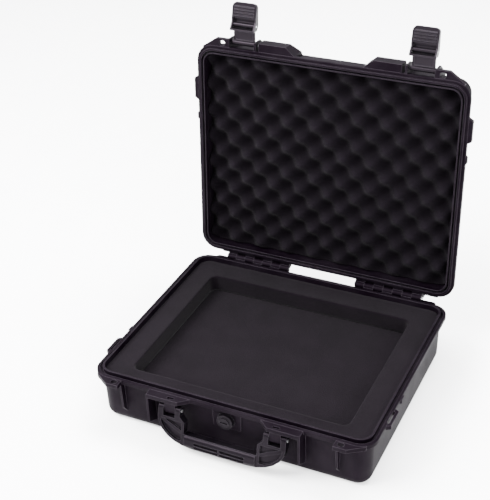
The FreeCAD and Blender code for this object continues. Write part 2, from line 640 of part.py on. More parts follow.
def build_lid_shell():
    body = new_body("lid_shell")
    wall = tub(body, LID_TOP - OVER_FLANGE, back=False)
    dress(body, "TopBevel", "Chamfer", wall, D.lid_bevel, level_edge(LID_TOP))
    plan = rim_loop(new_sketch(body, "FlangePlan", "XY_Plane", LID_FACE), ZERO, D.rim_corner)
    flange = pad(body, "Flange", plan, D.flange)
    dress(body, "FlangeRound", "Fillet", flange, D.edge_round,
          lambda edge: edge.BoundBox.ZLength < SNAP and on_rim_edge(edge))

    # front blocks, latch ribs, strap tabs and rear feet on the right side
    wall_line = WALL_FRONT + D.wall / 2
    high = LID_BLOCK_FACE + D.shoulder_high
    slope_end = high + D.shoulder_slope
    side = new_sketch(body, "ShoulderSide", "YZ_Plane", D.shoulder_foot)
    outline(side, [(wall_line, LID_BLOCK_FACE), (BLOCK_FRONT, LID_BLOCK_FACE),
                   (BLOCK_FRONT, high), (WALL_FRONT, slope_end), (wall_line, slope_end)])
    shoulder = pad(body, "Shoulder", side, D.shoulder_end - D.shoulder_foot)
    cut = new_sketch(body, "ShoulderEndPlan", "XY_Plane", LID_FACE)
    before, ahead = D.shoulder_foot - D.overrun, BLOCK_FRONT - D.overrun
    outline(cut, [(before, ahead), (D.shoulder_inner, ahead), (D.shoulder_inner, BLOCK_FRONT),
                  (D.shoulder_foot, FRONT), (before, FRONT)])
    shoulder_end = pocket(body, "ShoulderEnd", cut, D.lid_height, forward=True)
    sides = [shoulder, shoulder_end]
    for name, start in (("InnerRib", D.rib_outer), ("OuterRib", D.lug_inner - D.latch_rib)):
        side = new_sketch(body, name + "Side", "YZ_Plane", start)
        outline(side, [(wall_line, LID_BLOCK_FACE), (BLOCK_FRONT, LID_BLOCK_FACE),
                       (BLOCK_FRONT, high), (WALL_FRONT, LID_TOP), (WALL_FRONT + D.lid_bevel, LID_TOP),
                       (WALL_FRONT + D.lid_bevel, slope_end)])
        sides.append(pad(body, name, side, D.latch_rib))
    pin = new_sketch(body, "LatchPinRing", "YZ_Plane", D.rib_outer - D.overrun)
    circle(pin, LATCH_PIN_Y, LATCH_PIN_Z, D.latch_pin_radius + D.pin_play)
    span = D.lug_inner - D.rib_outer + D.overrun * 2
    sides.append(pocket(body, "LatchPinBore", pin, span, forward=True))
    plan = lug_plan(new_sketch(body, "LugPlan", "XY_Plane", LID_BLOCK_FACE), wall_line)
    sides.append(pad(body, "Lug", plan, D.plate))
    sides.append(pocket(body, "LugEye", eye_plan(body, LID_BLOCK_FACE), D.plate + D.overrun,
                        forward=True))
    sides += strap_tab(body, LID_BLOCK_FACE, back=False)
    foot_end = LID_TOP - D.foot_rise
    low = PARTING + D.knuckle_radius + D.foot_clear
    high_start = low + D.foot_step
    sides.append(rear_foot(body, "Foot", high_start, foot_end - high_start, back=False))
    sides.append(rear_foot(body, "Stop", low, foot_end - low, back=False, stop=True))
    sides += foot_cuts(body, foot_end, foot_end - D.foot_bevel, forward=False)
    mirror_sides(body, "BothSides", sides)

    # hollow, then the band with its ridge, seal groove and lip
    plan = rim_loop(new_sketch(body, "InsidePlan", "XY_Plane", LID_FACE), INNER_INSET,
                    D.inner_corner)
    straight = D.lid_height - D.wall - INNER_BEVEL
    pocket(body, "Inside", plan, straight, forward=True, taper=-D.draft_deg)
    lean = straight * tangent(D.draft_deg)
    plan = rim_loop(new_sketch(body, "InsideBevelPlan", "XY_Plane", LID_FACE + straight),
                    INNER_INSET + lean, D.inner_corner - lean)
    pocket(body, "InsideBevel", plan, INNER_BEVEL, forward=True, taper=-D.bevel_deg)
    ring(body, "Band", LID_FACE, INNER_INSET - D.wall / 2, BAND_INSET, D.flange)
    ring(body, "Ridge", LID_FACE, D.land + D.rim_play, GROOVE_END - D.rim_play,
         D.ridge_height, back=True)
    ring(body, "Lip", LID_FACE, INNER_INSET + D.rim_play, BAND_INSET, D.lip_height, back=True)
    ring(body, "SealGroove", LID_FACE, GROOVE_END - D.seal_play, INNER_INSET + D.seal_play,
         D.seal_depth, cut=True)
    ribbed_field(body)
    hinge_ledges(body, LID_LEDGE, back=False)
    knuckles(body, 0, 4, LID_FACE + D.knuckle_gap, LID_LEDGE + D.knuckle_gap)
    open_lid(body)
    return keep(body)


def ribbed_field(body):
    """Grooves across the top inside a frame, with a bare plate in the middle."""
    frame = new_sketch(body, "FramePlan", "XY_Plane", LID_TOP)
    for grow in (D.frame_groove, ZERO):
        x, y = FIELD_X + grow, FIELD_Y + grow
        rounded(frame, -x, -y, x, y, D.inner_corner / 2 + grow)
    pocket(body, "FrameGroove", frame, D.rib_deep)
    count = int(2 * FIELD_Y.value / D.rib_pitch.value)
    first = -D.rib_pitch * (count - 1) / 2
    groove = new_sketch(body, "FieldGroovePlan", "XY_Plane", LID_TOP)
    reach, half = FIELD_X + D.frame_groove / 2, D.rib_groove / 2
    outline(groove, [(-reach, first - half), (reach, first - half), (reach, first + half),
                     (-reach, first + half)])
    cut = pocket(body, "FieldGroove", groove, D.rib_deep)
    repeat(body, "FieldGrooves", [cut], "Y_Axis", D.rib_pitch, count)
    plate = new_sketch(body, "PlatePlan", "XY_Plane", LID_TOP - D.rib_deep)
    x, y = D.plate_width / 2, D.plate_length / 2
    rounded(plate, -x, -y, x, y, D.rib)
    pad(body, "Plate", plate, D.rib_deep)


# Soft pieces: the two-part base foam, the seal, and the egg-crate foam of the lid
def foam_block(label, level, height, inset, relief_level):
    """A block of foam with the same draft as the walls, and the plan of its valve relief."""
    body = new_body(label)
    plan = rim_loop(new_sketch(body, "Plan", "XY_Plane", level), inset, D.inner_corner)
    pad(body, "Block", plan, height, back=True, taper=-D.draft_deg)
    relief = new_sketch(body, "ReliefPlan", "XY_Plane", relief_level)
    front = FRONT + INNER_INSET
    rounded(relief, -D.valve_relief / 2, front - D.overrun, D.valve_relief / 2,
            front + D.valve_relief_deep, D.edge_round)
    return body, relief


def build_base_foam():
    low = FOAM_SPLIT + D.foam_gap
    height = FOAM_TOP - low
    body, relief = foam_block("base_foam", FOAM_TOP, height, INNER_INSET + D.foam_play, low)
    pocket(body, "Relief", relief, VALVE_Z + D.valve_flange - low, forward=True)
    bay = new_sketch(body, "BayPlan", "XY_Plane", FOAM_TOP)
    back = HALF_DEPTH - D.bay_back
    rounded(bay, -D.bay_width / 2, back - D.bay_length, D.bay_width / 2, back, D.bay_corner)
    pocket(body, "Bay", bay, height + D.overrun)
    return keep(body)


def build_base_foam_pad():
    lean = (FOAM_TOP - FOAM_SPLIT) * tangent(D.draft_deg)
    inset = INNER_INSET + D.foam_play + lean
    body, relief = foam_block("base_foam_pad", FOAM_SPLIT, D.foam_pad, inset, FOAM_SPLIT)
    cut = pocket(body, "Relief", relief, D.foam_pad / 2)
    low = FOAM_SPLIT - D.foam_pad
    dress(body, "BottomRound", "Fillet", cut, D.inner_round + D.foam_gap, level_edge(low))
    return keep(body)


def build_lid_seal():
    """The cord seal that lies at the bottom of the lid's seal groove."""
    body = new_body("lid_seal")
    top = LID_FACE + D.seal_depth
    middle = (GROOVE_END + INNER_INSET) / 2
    ring(body, "Cord", top, middle - D.seal_cord / 2, middle + D.seal_cord / 2, D.seal_cord,
         back=True)
    open_lid(body)
    return keep(body)


def build_lid_foam():
    """Egg-crate foam: a slab with staggered bell-shaped peaks towards the base."""
    inset = (BAND_INSET + D.foam_gap).value
    x, y = HALF_WIDTH.value - inset, HALF_DEPTH.value - inset
    top = (LID_TOP - D.wall - D.foam_gap).value
    floor = top - D.crate_slab.value
    tip = (LID_FACE + D.crate_drop).value
    corner = D.inner_corner.value - D.lip_width.value
    prism = rounded_prism(x, y, corner, tip, top - tip)
    slab = rounded_prism(x, y, corner, floor, top - floor)
    rise = floor - tip
    foot, crest = D.crate_foot.value, D.crate_tip.value
    profile = [Vector(0, 0, floor + crest), Vector(foot, 0, floor + crest), Vector(foot, 0, floor),
               Vector(foot * BELL_WAIST_SHARE, 0, floor - rise * BELL_RISE_SHARE),
               Vector(crest, 0, tip), Vector(0, 0, tip)]
    face = Part.Face(Part.makePolygon(profile + profile[:1]))
    bell = face.revolve(Vector(0, 0, 0), Vector(0, 0, 1), 360)
    half_x, half_y = D.crate_pitch_x.value / 2, D.crate_pitch_y.value / 2
    columns, rows = int(x / half_x), int(y / half_y)
    peaks = []
    for i in range(-columns, columns + 1):
        for j in range(-rows, rows + 1):
            if (i + j) % 2 == 0:
                peak = bell.copy()
                peak.translate(Vector(i * half_x, j * half_y, 0))
                peaks.append(peak)
    shape = slab.multiFuse(peaks).common(prism).removeSplitter()
    bevel = D.lid_bevel.value
    tops = [e for e in shape.Edges if level_edge(as_size(top))(e)]
    shape = shape.makeChamfer(bevel, tops)
    foam = doc.addObject("Part::Feature", "lid_foam")
    foam.Shape = shape.Solids[0]
    open_lid(foam)
    return keep(foam, "lid_foam")


BELL_WAIST_SHARE = 0.86
BELL_RISE_SHARE = 0.3


def rounded_prism(x, y, radius, low, height):
    """A plain block with round upright corners."""
    block = Part.makeBox(2 * x, 2 * y, height, Vector(-x, -y, low))
    upright = [e for e in block.Edges if e.BoundBox.ZLength > height / 2]
    return block.makeFillet(radius, upright)


# Handle: one moulding that hangs on two pins, drawn hanging straight down
HANDLE_HALF_THICK = D.handle_thick / 2


def build_handle():
    body = new_body("carry_handle")
    middle = -PIVOT_Y

    def at(x, along):
        return (x, PIVOT_Z - along)

    def bend(inset, last):
        """Points round the outer bend of an arm, from its straight side towards the grip."""
        start = D.grip_half - D.bend_in
        across = D.handle_half - inset - start
        down = D.grip_far - inset - D.arm_length
        turns = [math.radians(90 * i / BEND_STEPS) for i in range(last + 1)]
        return [at(start + across * round(math.cos(turn), 4),
                   D.arm_length + down * round(math.sin(turn), 4)) for turn in turns]

    outer_ear = D.handle_half - D.ear
    inner_ear = D.ear_inner + D.ear
    right = [at(D.handle_half, ZERO)] + bend(ZERO, BEND_STEPS)
    inside = [at(D.arm_inner, D.grip_near), at(D.arm_inner, D.fork_depth + D.rail),
              at(D.ear_inner, D.fork_depth - D.rail), at(D.ear_inner, ZERO),
              at(inner_ear, ZERO), at(inner_ear, D.fork_depth), at(outer_ear, D.fork_depth),
              at(outer_ear, ZERO)]
    left = [(-x, z) for x, z in reversed(right)]
    left_inside = [(-x, z) for x, z in reversed(inside)]
    plan = new_sketch(body, "FramePlan", "XZ_Plane", middle)
    outline(plan, right + left + left_inside + inside)
    frame = pad(body, "Frame", plan, D.handle_thick, both=True)

    sides = []
    for name, start in (("InnerEar", D.ear_inner), ("OuterEar", outer_ear)):
        sketch = new_sketch(body, name + "Ring", "YZ_Plane", start)
        circle(sketch, PIVOT_Y, PIVOT_Z, HANDLE_HALF_THICK)
        sides.append(pad(body, name, sketch, D.ear))
    low, high = D.arm_inner + D.rail, D.handle_half - D.rail
    top, bottom = D.fork_depth + D.rail, D.grip_near + D.rail
    for name, level, forward in (("FrontWell", middle + HANDLE_HALF_THICK, False),
                                 ("BackWell", middle - HANDLE_HALF_THICK, True)):
        sketch = new_sketch(body, name + "Plan", "XZ_Plane", level)
        outline(sketch, [at(low, top), at(high, top)] + bend(D.rail, BEND_STEPS - 2)[1:]
                + [at(low, bottom + D.rail * 2)])
        sides.append(pocket(body, name, sketch, D.web_deep, forward=forward))
    sketch = new_sketch(body, "DiagonalPlan", "XZ_Plane", middle)
    half = D.lattice_rib * LATTICE_SHARE
    outline(sketch, [at(low, bottom - D.rail - half * 2), at(high - half * 2, top),
                     at(high, top), at(high, top + half * 2), at(low + half * 2, bottom - D.rail),
                     at(low, bottom - D.rail)])
    sides.append(pad(body, "Diagonal", sketch, D.handle_thick - D.skin, both=True))
    mirror_sides(body, "BothArms", sides)

    sections = []
    for name, x, arch in (("GripLeft", -D.grip_half, ZERO), ("GripMiddle", ZERO, D.arch),
                          ("GripRight", D.grip_half, ZERO)):
        sketch = new_sketch(body, name, "YZ_Plane", x)
        rounded(sketch, PIVOT_Y - D.grip_thick / 2, PIVOT_Z - D.grip_far - arch,
                PIVOT_Y + D.grip_thick / 2, PIVOT_Z - D.grip_near, D.grip_round)
        sections.append(sketch)
    grip = body.newObject("PartDesign::AdditiveLoft", "Grip")
    grip.Profile = sections[0]
    grip.Sections = sections[1:]
    grip.Ruled = True
    core = D.grip_far - D.grip_slot - D.lattice_rib
    for name, level, forward in (("FrontSlots", middle + D.grip_thick / 2, False),
                                 ("BackSlots", middle - D.grip_thick / 2, True)):
        sketch = new_sketch(body, name + "Plan", "XZ_Plane", level)
        for across in (-1, 1):
            for along in (-1, 1):
                x = (D.grip_slot_length / 2 + D.lattice_rib / 2) * across
                z = PIVOT_Z - core - (D.grip_slot / 2 + D.lattice_rib / 4) * along
                rounded(sketch, x - D.grip_slot_length / 2, z - D.grip_slot / 2,
                        x + D.grip_slot_length / 2, z + D.grip_slot / 2, D.edge_round)
        pocket(body, name, sketch, D.grip_slot_deep, forward=forward)
    bore = new_sketch(body, "PinBoreRing", "YZ_Plane")
    circle(bore, PIVOT_Y, PIVOT_Z, D.handle_pin_radius + D.pin_play)
    body.Tip = pocket_through(body, "PinBore", bore)
    turn_about(body, PIVOT_Y, PIVOT_Z, D.handle_deg)
    return keep(body)


LATTICE_SHARE = 0.7
BEND_STEPS = 6


# Latches: a link on the lid's pin and a lever with a claw on the link
LEVER_PIN_Z = LATCH_PIN_Z - D.link_length
LEVER_INSIDE = D.link_width / 2 + D.lever_play
LEVER_HALF = LEVER_INSIDE + D.lever_side
LATCH_TURN = D.latch_deg


def open_latch(body):
    """Stand a latch out from the lid, then turn it with the lid."""
    c, s = cosine(D.open_deg), sine(D.open_deg)
    turn = Rotation(Vector(-1, 0, 0), D.open_deg.value)
    out = Placement(Vector(), Rotation(Vector(-1, 0, 0), LATCH_TURN.value),
                    Vector(0, LATCH_PIN_Y.value, LATCH_PIN_Z.value))
    lid = Placement(Vector(), turn, Vector(0, HINGE_Y.value, PARTING.value))
    body.Placement = lid * out
    text = "placement(vector(0; 0; 0); rotation(vector(-1; 0; 0); %s * 1 deg); vector(0; %s; %s))"
    parts = [text % (D.open_deg.text, HINGE_Y.text, PARTING.text),
             text % (LATCH_TURN.text, LATCH_PIN_Y.text, LATCH_PIN_Z.text)]
    body.setExpression("Placement", " * ".join(parts))


def build_latch(name, side):
    """The link, its lever pin and the lever of one latch."""
    middle = D.latch_middle * side

    def at(out, down):
        return (LATCH_PIN_Y - out, LATCH_PIN_Z - down)

    body = new_body("latch_link_" + name)
    sketch = circle(new_sketch(body, "BarrelRing", "YZ_Plane", middle), LATCH_PIN_Y, LATCH_PIN_Z,
                    D.latch_barrel)
    pad(body, "Barrel", sketch, D.latch_barrel_width, both=True)
    sketch = circle(new_sketch(body, "EndRing", "YZ_Plane", middle), LATCH_PIN_Y, LEVER_PIN_Z,
                    D.link_end_radius)
    pad(body, "End", sketch, D.link_width, both=True)
    face = D.link_thick - D.link_back
    sketch = new_sketch(body, "PlateSide", "YZ_Plane", middle)
    outline(sketch, [at(-D.link_back, ZERO), at(face, ZERO), at(face, D.link_length),
                     at(-D.link_back, D.link_length)])
    pad(body, "Plate", sketch, D.link_width, both=True)
    well = new_sketch(body, "WellPlan", "XZ_Plane", -(LATCH_PIN_Y + D.link_back))
    reach = D.link_width / 2 - D.link_thick
    rounded(well, middle - reach, LEVER_PIN_Z + D.link_end_radius + D.link_back, middle + reach,
            LATCH_PIN_Z - D.latch_barrel - D.link_back, D.edge_round)
    pocket(body, "Well", well, D.link_back, forward=True)
    for bore, z, radius in (("PinBore", LATCH_PIN_Z, D.latch_pin_radius),
                            ("LeverPinBore", LEVER_PIN_Z, D.lever_pin_radius)):
        sketch = new_sketch(body, bore + "Ring", "YZ_Plane")
        circle(sketch, LATCH_PIN_Y, z, radius + D.pin_play)
        body.Tip = pocket_through(body, bore, sketch)
    open_latch(body)
    keep(body)

    body = new_body("lever_pin_" + name)
    sketch = circle(new_sketch(body, "Ring", "YZ_Plane", middle), LATCH_PIN_Y, LEVER_PIN_Z,
                    D.lever_pin_radius)
    pad(body, "Pin", sketch, LEVER_HALF * 2, both=True)
    open_latch(body)
    keep(body)

    body = new_body("latch_lever_" + name)
    claw_top = LATCH_PIN_Z - UNDER_FLANGE + D.claw_gap
    face = D.lever_face + D.lever_thick
    heel = D.link_length + D.claw_thick * 2
    thumb = D.link_length + D.thumb_start
    claw = [at(-D.claw_reach, claw_top), at(-D.claw_back, claw_top),
            at(-D.claw_back, claw_top + D.claw_thick),
            at(-D.claw_reach, claw_top + D.claw_thick - D.lever_play)]
    cheek = [at(-D.claw_reach, claw_top), at(D.claw_back, claw_top), at(face, D.link_length),
             at(face, D.lever_length - D.lever_thick), at(D.lever_face, D.lever_length),
             at(D.lever_toe, D.lever_length), at(-D.lever_toe, thumb),
             at(-D.claw_back, heel), at(-D.claw_reach, claw_top + D.claw_thick)]
    slab = [at(D.lip_out, D.link_length + D.lip_start), at(face, D.link_length + D.lip_start),
            at(face, D.lever_length - D.lever_thick), at(D.lever_face, D.lever_length),
            at(D.lever_toe, D.lever_length), at(ZERO, (thumb + D.lever_length) / 2),
            at(-D.lever_toe + D.lever_play, thumb), at(D.lever_face, thumb),
            at(D.lever_face, D.link_length + D.lever_start)]
    for offset, label in ((LEVER_INSIDE, "Right"), (-LEVER_HALF, "Left")):
        sketch = new_sketch(body, label + "CheekSide", "YZ_Plane", middle + offset)
        outline(sketch, cheek)
        pad(body, label + "Cheek", sketch, D.lever_side)
        if label == "Right":
            for piece, points in (("Slab", slab), ("Claw", claw)):
                sketch = new_sketch(body, piece + "Side", "YZ_Plane", middle)
                outline(sketch, points)
                pad(body, piece, sketch, LEVER_HALF * 2, both=True)
    sketch = new_sketch(body, "RidgeSide", "YZ_Plane", middle)
    first = thumb + D.thumb_ridge
    for i in range(THUMB_RIDGES):
        down = first + D.ridge_pitch * i
        near = ZERO - D.lever_toe + (D.lever_toe * 2) * ((down - thumb) / (D.lever_length - thumb))
        outline(sketch, [at(near, down), at(near - D.thumb_ridge_high, down + D.lever_play * 2),
                         at(near - D.thumb_ridge_high, down + D.thumb_ridge - D.lever_play * 2),
                         at(near, down + D.thumb_ridge), at(near + D.lever_toe, down + D.thumb_ridge),
                         at(near + D.lever_toe, down)])
    pad(body, "Ridges", sketch, (LEVER_HALF - D.thumb_round / 2) * 2, both=True)
    sketch = new_sketch(body, "ThumbEndPlan", "XZ_Plane", -LATCH_PIN_Y)
    for hand in (1, -1):
        corner_cut(sketch, middle + LEVER_HALF * hand, LATCH_PIN_Z - D.lever_length,
                   D.thumb_round, hand)
    pocket(body, "ThumbEnd", sketch, D.lever_length, both=True)
    sketch = new_sketch(body, "PinBoreRing", "YZ_Plane")
    circle(sketch, LATCH_PIN_Y, LEVER_PIN_Z, D.lever_pin_radius + D.pin_play)
    body.Tip = pocket_through(body, "PinBore", sketch)
    open_latch(body)
    keep(body)


THUMB_RIDGES = 4


def corner_cut(sketch, x, z, radius, hand):
    """What lies outside a round corner that points down and to one hand."""
    r, past = radius.value, D.overrun.value
    corner = Vector(x.value, z.value, 0)
    middle = corner + Vector(-r * hand, r, 0)
    points = [corner + Vector(-r * hand, 0, 0), corner + Vector(-r * hand, -past, 0),
              corner + Vector(past * hand, -past, 0), corner + Vector(past * hand, r, 0),
              corner + Vector(0, r, 0)]
    first = sketch.GeometryCount
    for start, end in zip(points, points[1:]):
        sketch.addGeometry(Part.LineSegment(start, end), False)
    begin = -90 if hand > 0 else 180
    ring_line = Part.Circle(middle, Vector(0, 0, 1), r)
    sketch.addGeometry(Part.ArcOfCircle(ring_line, math.radians(begin), math.radians(begin + 90)),
                       False)
    arc = first + 4
    for i in range(3):
        sketch.addConstraint(Sketcher.Constraint("Coincident", first + i, 2, first + i + 1, 1))
    low, high = (1, 2) if hand > 0 else (2, 1)
    sketch.addConstraint(Sketcher.Constraint("Coincident", first, 1, arc, low))
    sketch.addConstraint(Sketcher.Constraint("Coincident", first + 3, 2, arc, high))
    for i, kind in enumerate(("Vertical", "Horizontal", "Vertical", "Horizontal")):
        sketch.addConstraint(Sketcher.Constraint(kind, first + i))
    hold(sketch, "DistanceX", arc, 3, x - radius * hand)
    hold(sketch, "DistanceY", arc, 3, z + radius)
    hold(sketch, "DistanceX", first + 3, 2, x)
    hold(sketch, "DistanceY", first, 2, z - D.overrun)
    hold(sketch, "DistanceX", first + 2, 2, x + D.overrun * hand)
    hold(sketch, "DistanceY", first + 2, 2, z + radius)
    hold(sketch, "DistanceX", first, 1, x - radius * hand)


# Pins: plain steel rods, each pair one piece of two solids
def pin_pair(label, radius, y, z, inner, outer, in_lid=False):
    rods = []
    for side, name in ((1, "Right"), (-1, "Left")):
        rod = doc.addObject("Part::Cylinder", label + name)
        set_size(rod, "Radius", radius)
        set_size(rod, "Height", outer - inner)
        start = inner if side > 0 else -outer
        rod.Placement = Placement(Vector(start.value, y.value, z.value),
                                  Rotation(Vector(0, 1, 0), 90))
        set_size(rod, "Placement.Base.x", start)
        set_size(rod, "Placement.Base.y", y)
        set_size(rod, "Placement.Base.z", z)
        rods.append(rod)
    pair = doc.addObject("Part::Compound", label)
    pair.Links = rods
    if in_lid:
        open_lid(pair)
    return keep(pair, label)


# Vent valve: a body clamped through the front wall, with a knob on its stem
VALVE_FACE = WALL_FRONT - D.valve_pad


def disc(body, name, from_front, thick, radius, cut=False):
    """A round step of the valve, placed by how far it starts in front of the pad."""
    sketch = new_sketch(body, name + "Ring", "XZ_Plane", from_front - VALVE_FACE)
    circle(sketch, ZERO, VALVE_Z, radius)
    if cut:
        return pocket(body, name, sketch, thick)
    return pad(body, name, sketch, thick, back=True)


def build_valve():
    seat = D.valve_gasket
    front = seat + D.valve_flange_thick
    wall = D.valve_pad + D.wall
    slope = (UNDER_FLANGE - VALVE_Z) * tangent(D.draft_deg)
    inner_face = -(wall + slope + D.valve_gasket)
    inside = D.valve_nut_thick + D.overrun
    body = new_body("valve_body")
    disc(body, "Flange", front, D.valve_flange_thick, D.valve_flange)
    disc(body, "Stem", seat, seat - inner_face + inside, D.valve_stem)
    disc(body, "Bore", front, front - inner_face + inside + D.overrun, D.valve_bore, cut=True)
    keep(body)
    body = new_body("valve_gasket")
    disc(body, "Ring", seat, D.valve_gasket, D.valve_flange - D.skin / 2)
    disc(body, "Hole", seat, D.valve_gasket + D.overrun, D.valve_stem + D.pin_play, cut=True)
    keep(body)
    body = new_body("valve_nut")
    sketch = new_sketch(body, "HexPlan", "XZ_Plane", inner_face - VALVE_FACE)
    corner = D.valve_nut_flat / math.cos(math.radians(30))
    outline(sketch, [(corner * math.cos(math.radians(60 * i)),
                      VALVE_Z + corner * math.sin(math.radians(60 * i))) for i in range(6)])
    pad(body, "Hex", sketch, D.valve_nut_thick, back=True)
    disc(body, "Thread", inner_face, D.valve_nut_thick + D.overrun, D.valve_stem + D.pin_play,
         cut=True)
    keep(body)
    body = new_body("valve_knob")
    knob_front = front + D.knob_gap + D.knob_thick
    disc(body, "Knob", knob_front, D.knob_thick, D.knob_radius)
    disc(body, "Stem", knob_front - D.knob_thick, D.knob_stem, D.valve_bore - D.pin_play)
    disc(body, "Button", knob_front + D.button_high, D.button_high, D.button_radius)
    sketch = new_sketch(body, "CoinSlotPlan", "XZ_Plane",
                        knob_front + D.button_high - VALVE_FACE)
    rounded(sketch, -D.coin_slot_length / 2, VALVE_Z - D.coin_slot / 2, D.coin_slot_length / 2,
            VALVE_Z + D.coin_slot / 2, D.edge_round)
    pocket(body, "CoinSlot", sketch, D.button_high)
    keep(body)


build_base_shell()
build_base_foam()
build_base_foam_pad()
build_lid_shell()
build_lid_seal()
build_lid_foam()
build_handle()
build_latch("right", 1)
build_latch("left", -1)
build_valve()
pin_pair("hinge_pins", D.hinge_pin_radius, HINGE_Y, PARTING, D.hinge_inner - D.pin_end,
         D.hinge_outer + D.pin_end)
pin_pair("handle_pins", D.handle_pin_radius, PIVOT_Y, PIVOT_Z, D.ear_inner - D.pin_end,
         D.handle_half + D.pin_end)
pin_pair("latch_pins", D.latch_pin_radius, LATCH_PIN_Y, LATCH_PIN_Z, D.rib_outer - D.pin_end,
         D.lug_inner + D.pin_end, in_lid=True)
doc.recompute()

# Nothing is written unless every object and every piece is sound
for thing in doc.Objects:
    if "Invalid" in thing.State or "Error" in thing.State:
        raise RuntimeError("%s did not build" % thing.Label)
for piece in PIECES:
    if piece.Shape.isNull() or not piece.Shape.isValid():
        raise RuntimeError("%s is not a sound shape" % piece.Label)
os.makedirs("parts", exist_ok=True)
for piece in PIECES:
    piece.Shape.exportStep("parts/%s.step" % piece.Label)
    box = piece.Shape.BoundBox
    print("%-20s solids %d volume %9.0f  x %7.1f %7.1f  y %7.1f %7.1f  z %7.1f %7.1f" % (
        piece.Label, len(piece.Shape.Solids), piece.Shape.Volume, box.XMin, box.XMax,
        box.YMin, box.YMax, box.ZMin, box.ZMax))
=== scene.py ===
"""Looks of a moulded laptop case: plastic, foam, steel, rubber, and the studio around it."""

import json
import logging
import math
from dataclasses import dataclass, field
from enum import Enum
from typing import Callable, ClassVar

import bpy
from mathutils import Matrix, Vector, noise

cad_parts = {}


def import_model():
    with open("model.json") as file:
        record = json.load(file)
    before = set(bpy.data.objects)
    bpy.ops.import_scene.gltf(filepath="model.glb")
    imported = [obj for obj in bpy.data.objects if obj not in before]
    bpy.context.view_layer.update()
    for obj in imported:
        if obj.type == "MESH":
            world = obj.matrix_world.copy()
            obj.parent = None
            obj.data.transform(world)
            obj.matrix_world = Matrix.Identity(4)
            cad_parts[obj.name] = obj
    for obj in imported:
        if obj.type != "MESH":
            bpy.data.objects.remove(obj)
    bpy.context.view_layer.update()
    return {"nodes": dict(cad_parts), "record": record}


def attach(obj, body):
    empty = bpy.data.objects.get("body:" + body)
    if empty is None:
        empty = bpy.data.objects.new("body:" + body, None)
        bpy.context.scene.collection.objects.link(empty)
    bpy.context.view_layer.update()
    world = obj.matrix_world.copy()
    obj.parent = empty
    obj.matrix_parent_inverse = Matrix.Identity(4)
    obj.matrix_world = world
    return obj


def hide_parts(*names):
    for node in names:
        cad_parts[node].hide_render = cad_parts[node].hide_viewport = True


LOG = logging.getLogger("laptop_case")
MM = 0.001
# Tint of the gloss on black plastic and foam, which looks slightly violet.
VIOLET_GLOSS = (1.0, 0.8, 1.0, 1.0)
SIDE_STEPS = 60
CORNER_STEPS = 10

Point = tuple[float, float, float]
Colour = tuple[float, float, float]
Loop = list[tuple[float, float]]
Ring = tuple[Loop, float, float]
Face = tuple[int, ...]


class Body(Enum):
    """The moving bodies of the case that dressed pieces ride on."""

    BASE = "base"
    LID = "lid"


class Slot(Enum):
    """The record's material slots, one of which each new piece names."""

    FOAM = "foam"
    CRATE_FOAM = "crate_foam"


class Nodes:
    """A short way to write node trees."""

    MIX_FACTOR = 0
    MIX_COLOURS = (6, 7)
    MIX_RESULT = 2

    def __init__(self, tree: bpy.types.NodeTree) -> None:
        """Keep the tree that nodes are added to.

        Args:
            tree: The material's or group's node tree.
        """
        self.tree = tree

    def add(self, kind: str, **values: object) -> bpy.types.Node:
        """Add a node and set its own properties and its inputs' values.

        Args:
            kind: The node's type name without its ShaderNode prefix.
            **values: Properties of the node, or inputs written with underscores.

        Returns:
            The new node.
        """
        node = self.tree.nodes.new("ShaderNode" + kind)
        for key, value in values.items():
            label = key.replace("_", " ")
            if label in node.inputs and not hasattr(type(node), key):
                node.inputs[label].default_value = value
            else:
                setattr(node, key, value)
        return node

    def link(self, source: bpy.types.NodeSocket, target: bpy.types.NodeSocket) -> None:
        """Join an output to an input."""
        self.tree.links.new(source, target)

    def maths(self, operation: str, first: object, second: object = None) -> bpy.types.NodeSocket:
        """Add a Math node.

        Args:
            operation: The node's operation.
            first: A socket or a number.
            second: A socket, a number, or nothing.

        Returns:
            The result's socket.
        """
        node = self.add("Math", operation=operation)
        for index, value in enumerate((first, second)):
            if isinstance(value, bpy.types.NodeSocket):
                self.link(value, node.inputs[index])
            elif value is not None:
                node.inputs[index].default_value = value
        return node.outputs[0]

    def remap(self, value: bpy.types.NodeSocket, low: float, high: float,
              to_low: float, to_high: float) -> bpy.types.NodeSocket:
        """Stretch a range of values to another range, and clamp it.

        Args:
            value: The socket that is read.
            low: Start of the range that is read.
            high: End of the range that is read.
            to_low: What low becomes.
            to_high: What high becomes.

        Returns:
            The result's socket.
        """
        node = self.add("MapRange")
        self.link(value, node.inputs["Value"])
        for name, number in (("From Min", low), ("From Max", high),
                             ("To Min", to_low), ("To Max", to_high)):
            node.inputs[name].default_value = number
        return node.outputs["Result"]

    def mix(self, amount: bpy.types.NodeSocket, first: object,
            second: object) -> bpy.types.NodeSocket:
        """Mix two colours.

        Args:
            amount: How much of the second colour shows.
            first: A colour or a colour socket.
            second: A colour or a colour socket.

        Returns:
            The mixed colour's socket.
        """
        node = self.add("Mix", data_type="RGBA")
        self.link(amount, node.inputs[self.MIX_FACTOR])
        for index, value in zip(self.MIX_COLOURS, (first, second)):
            if isinstance(value, bpy.types.NodeSocket):
                self.link(value, node.inputs[index])
            else:
                node.inputs[index].default_value = (*value, 1.0)
        return node.outputs[self.MIX_RESULT]

    def bump(self, height: bpy.types.NodeSocket, depth: float,
             normal: bpy.types.NodeSocket | None = None) -> bpy.types.NodeSocket:
        """Turn a height into a normal.

        Args:
            height: Height from 0 to 1.
            depth: Real depth in metres.
            normal: The normal that it is laid over.

        Returns:
            The normal's socket.
        """
        node = self.add("Bump", Strength=1.0, Distance=depth)
        self.link(height, node.inputs["Height"])
        if normal is not None:
            self.link(normal, node.inputs["Normal"])
        return node.outputs["Normal"]


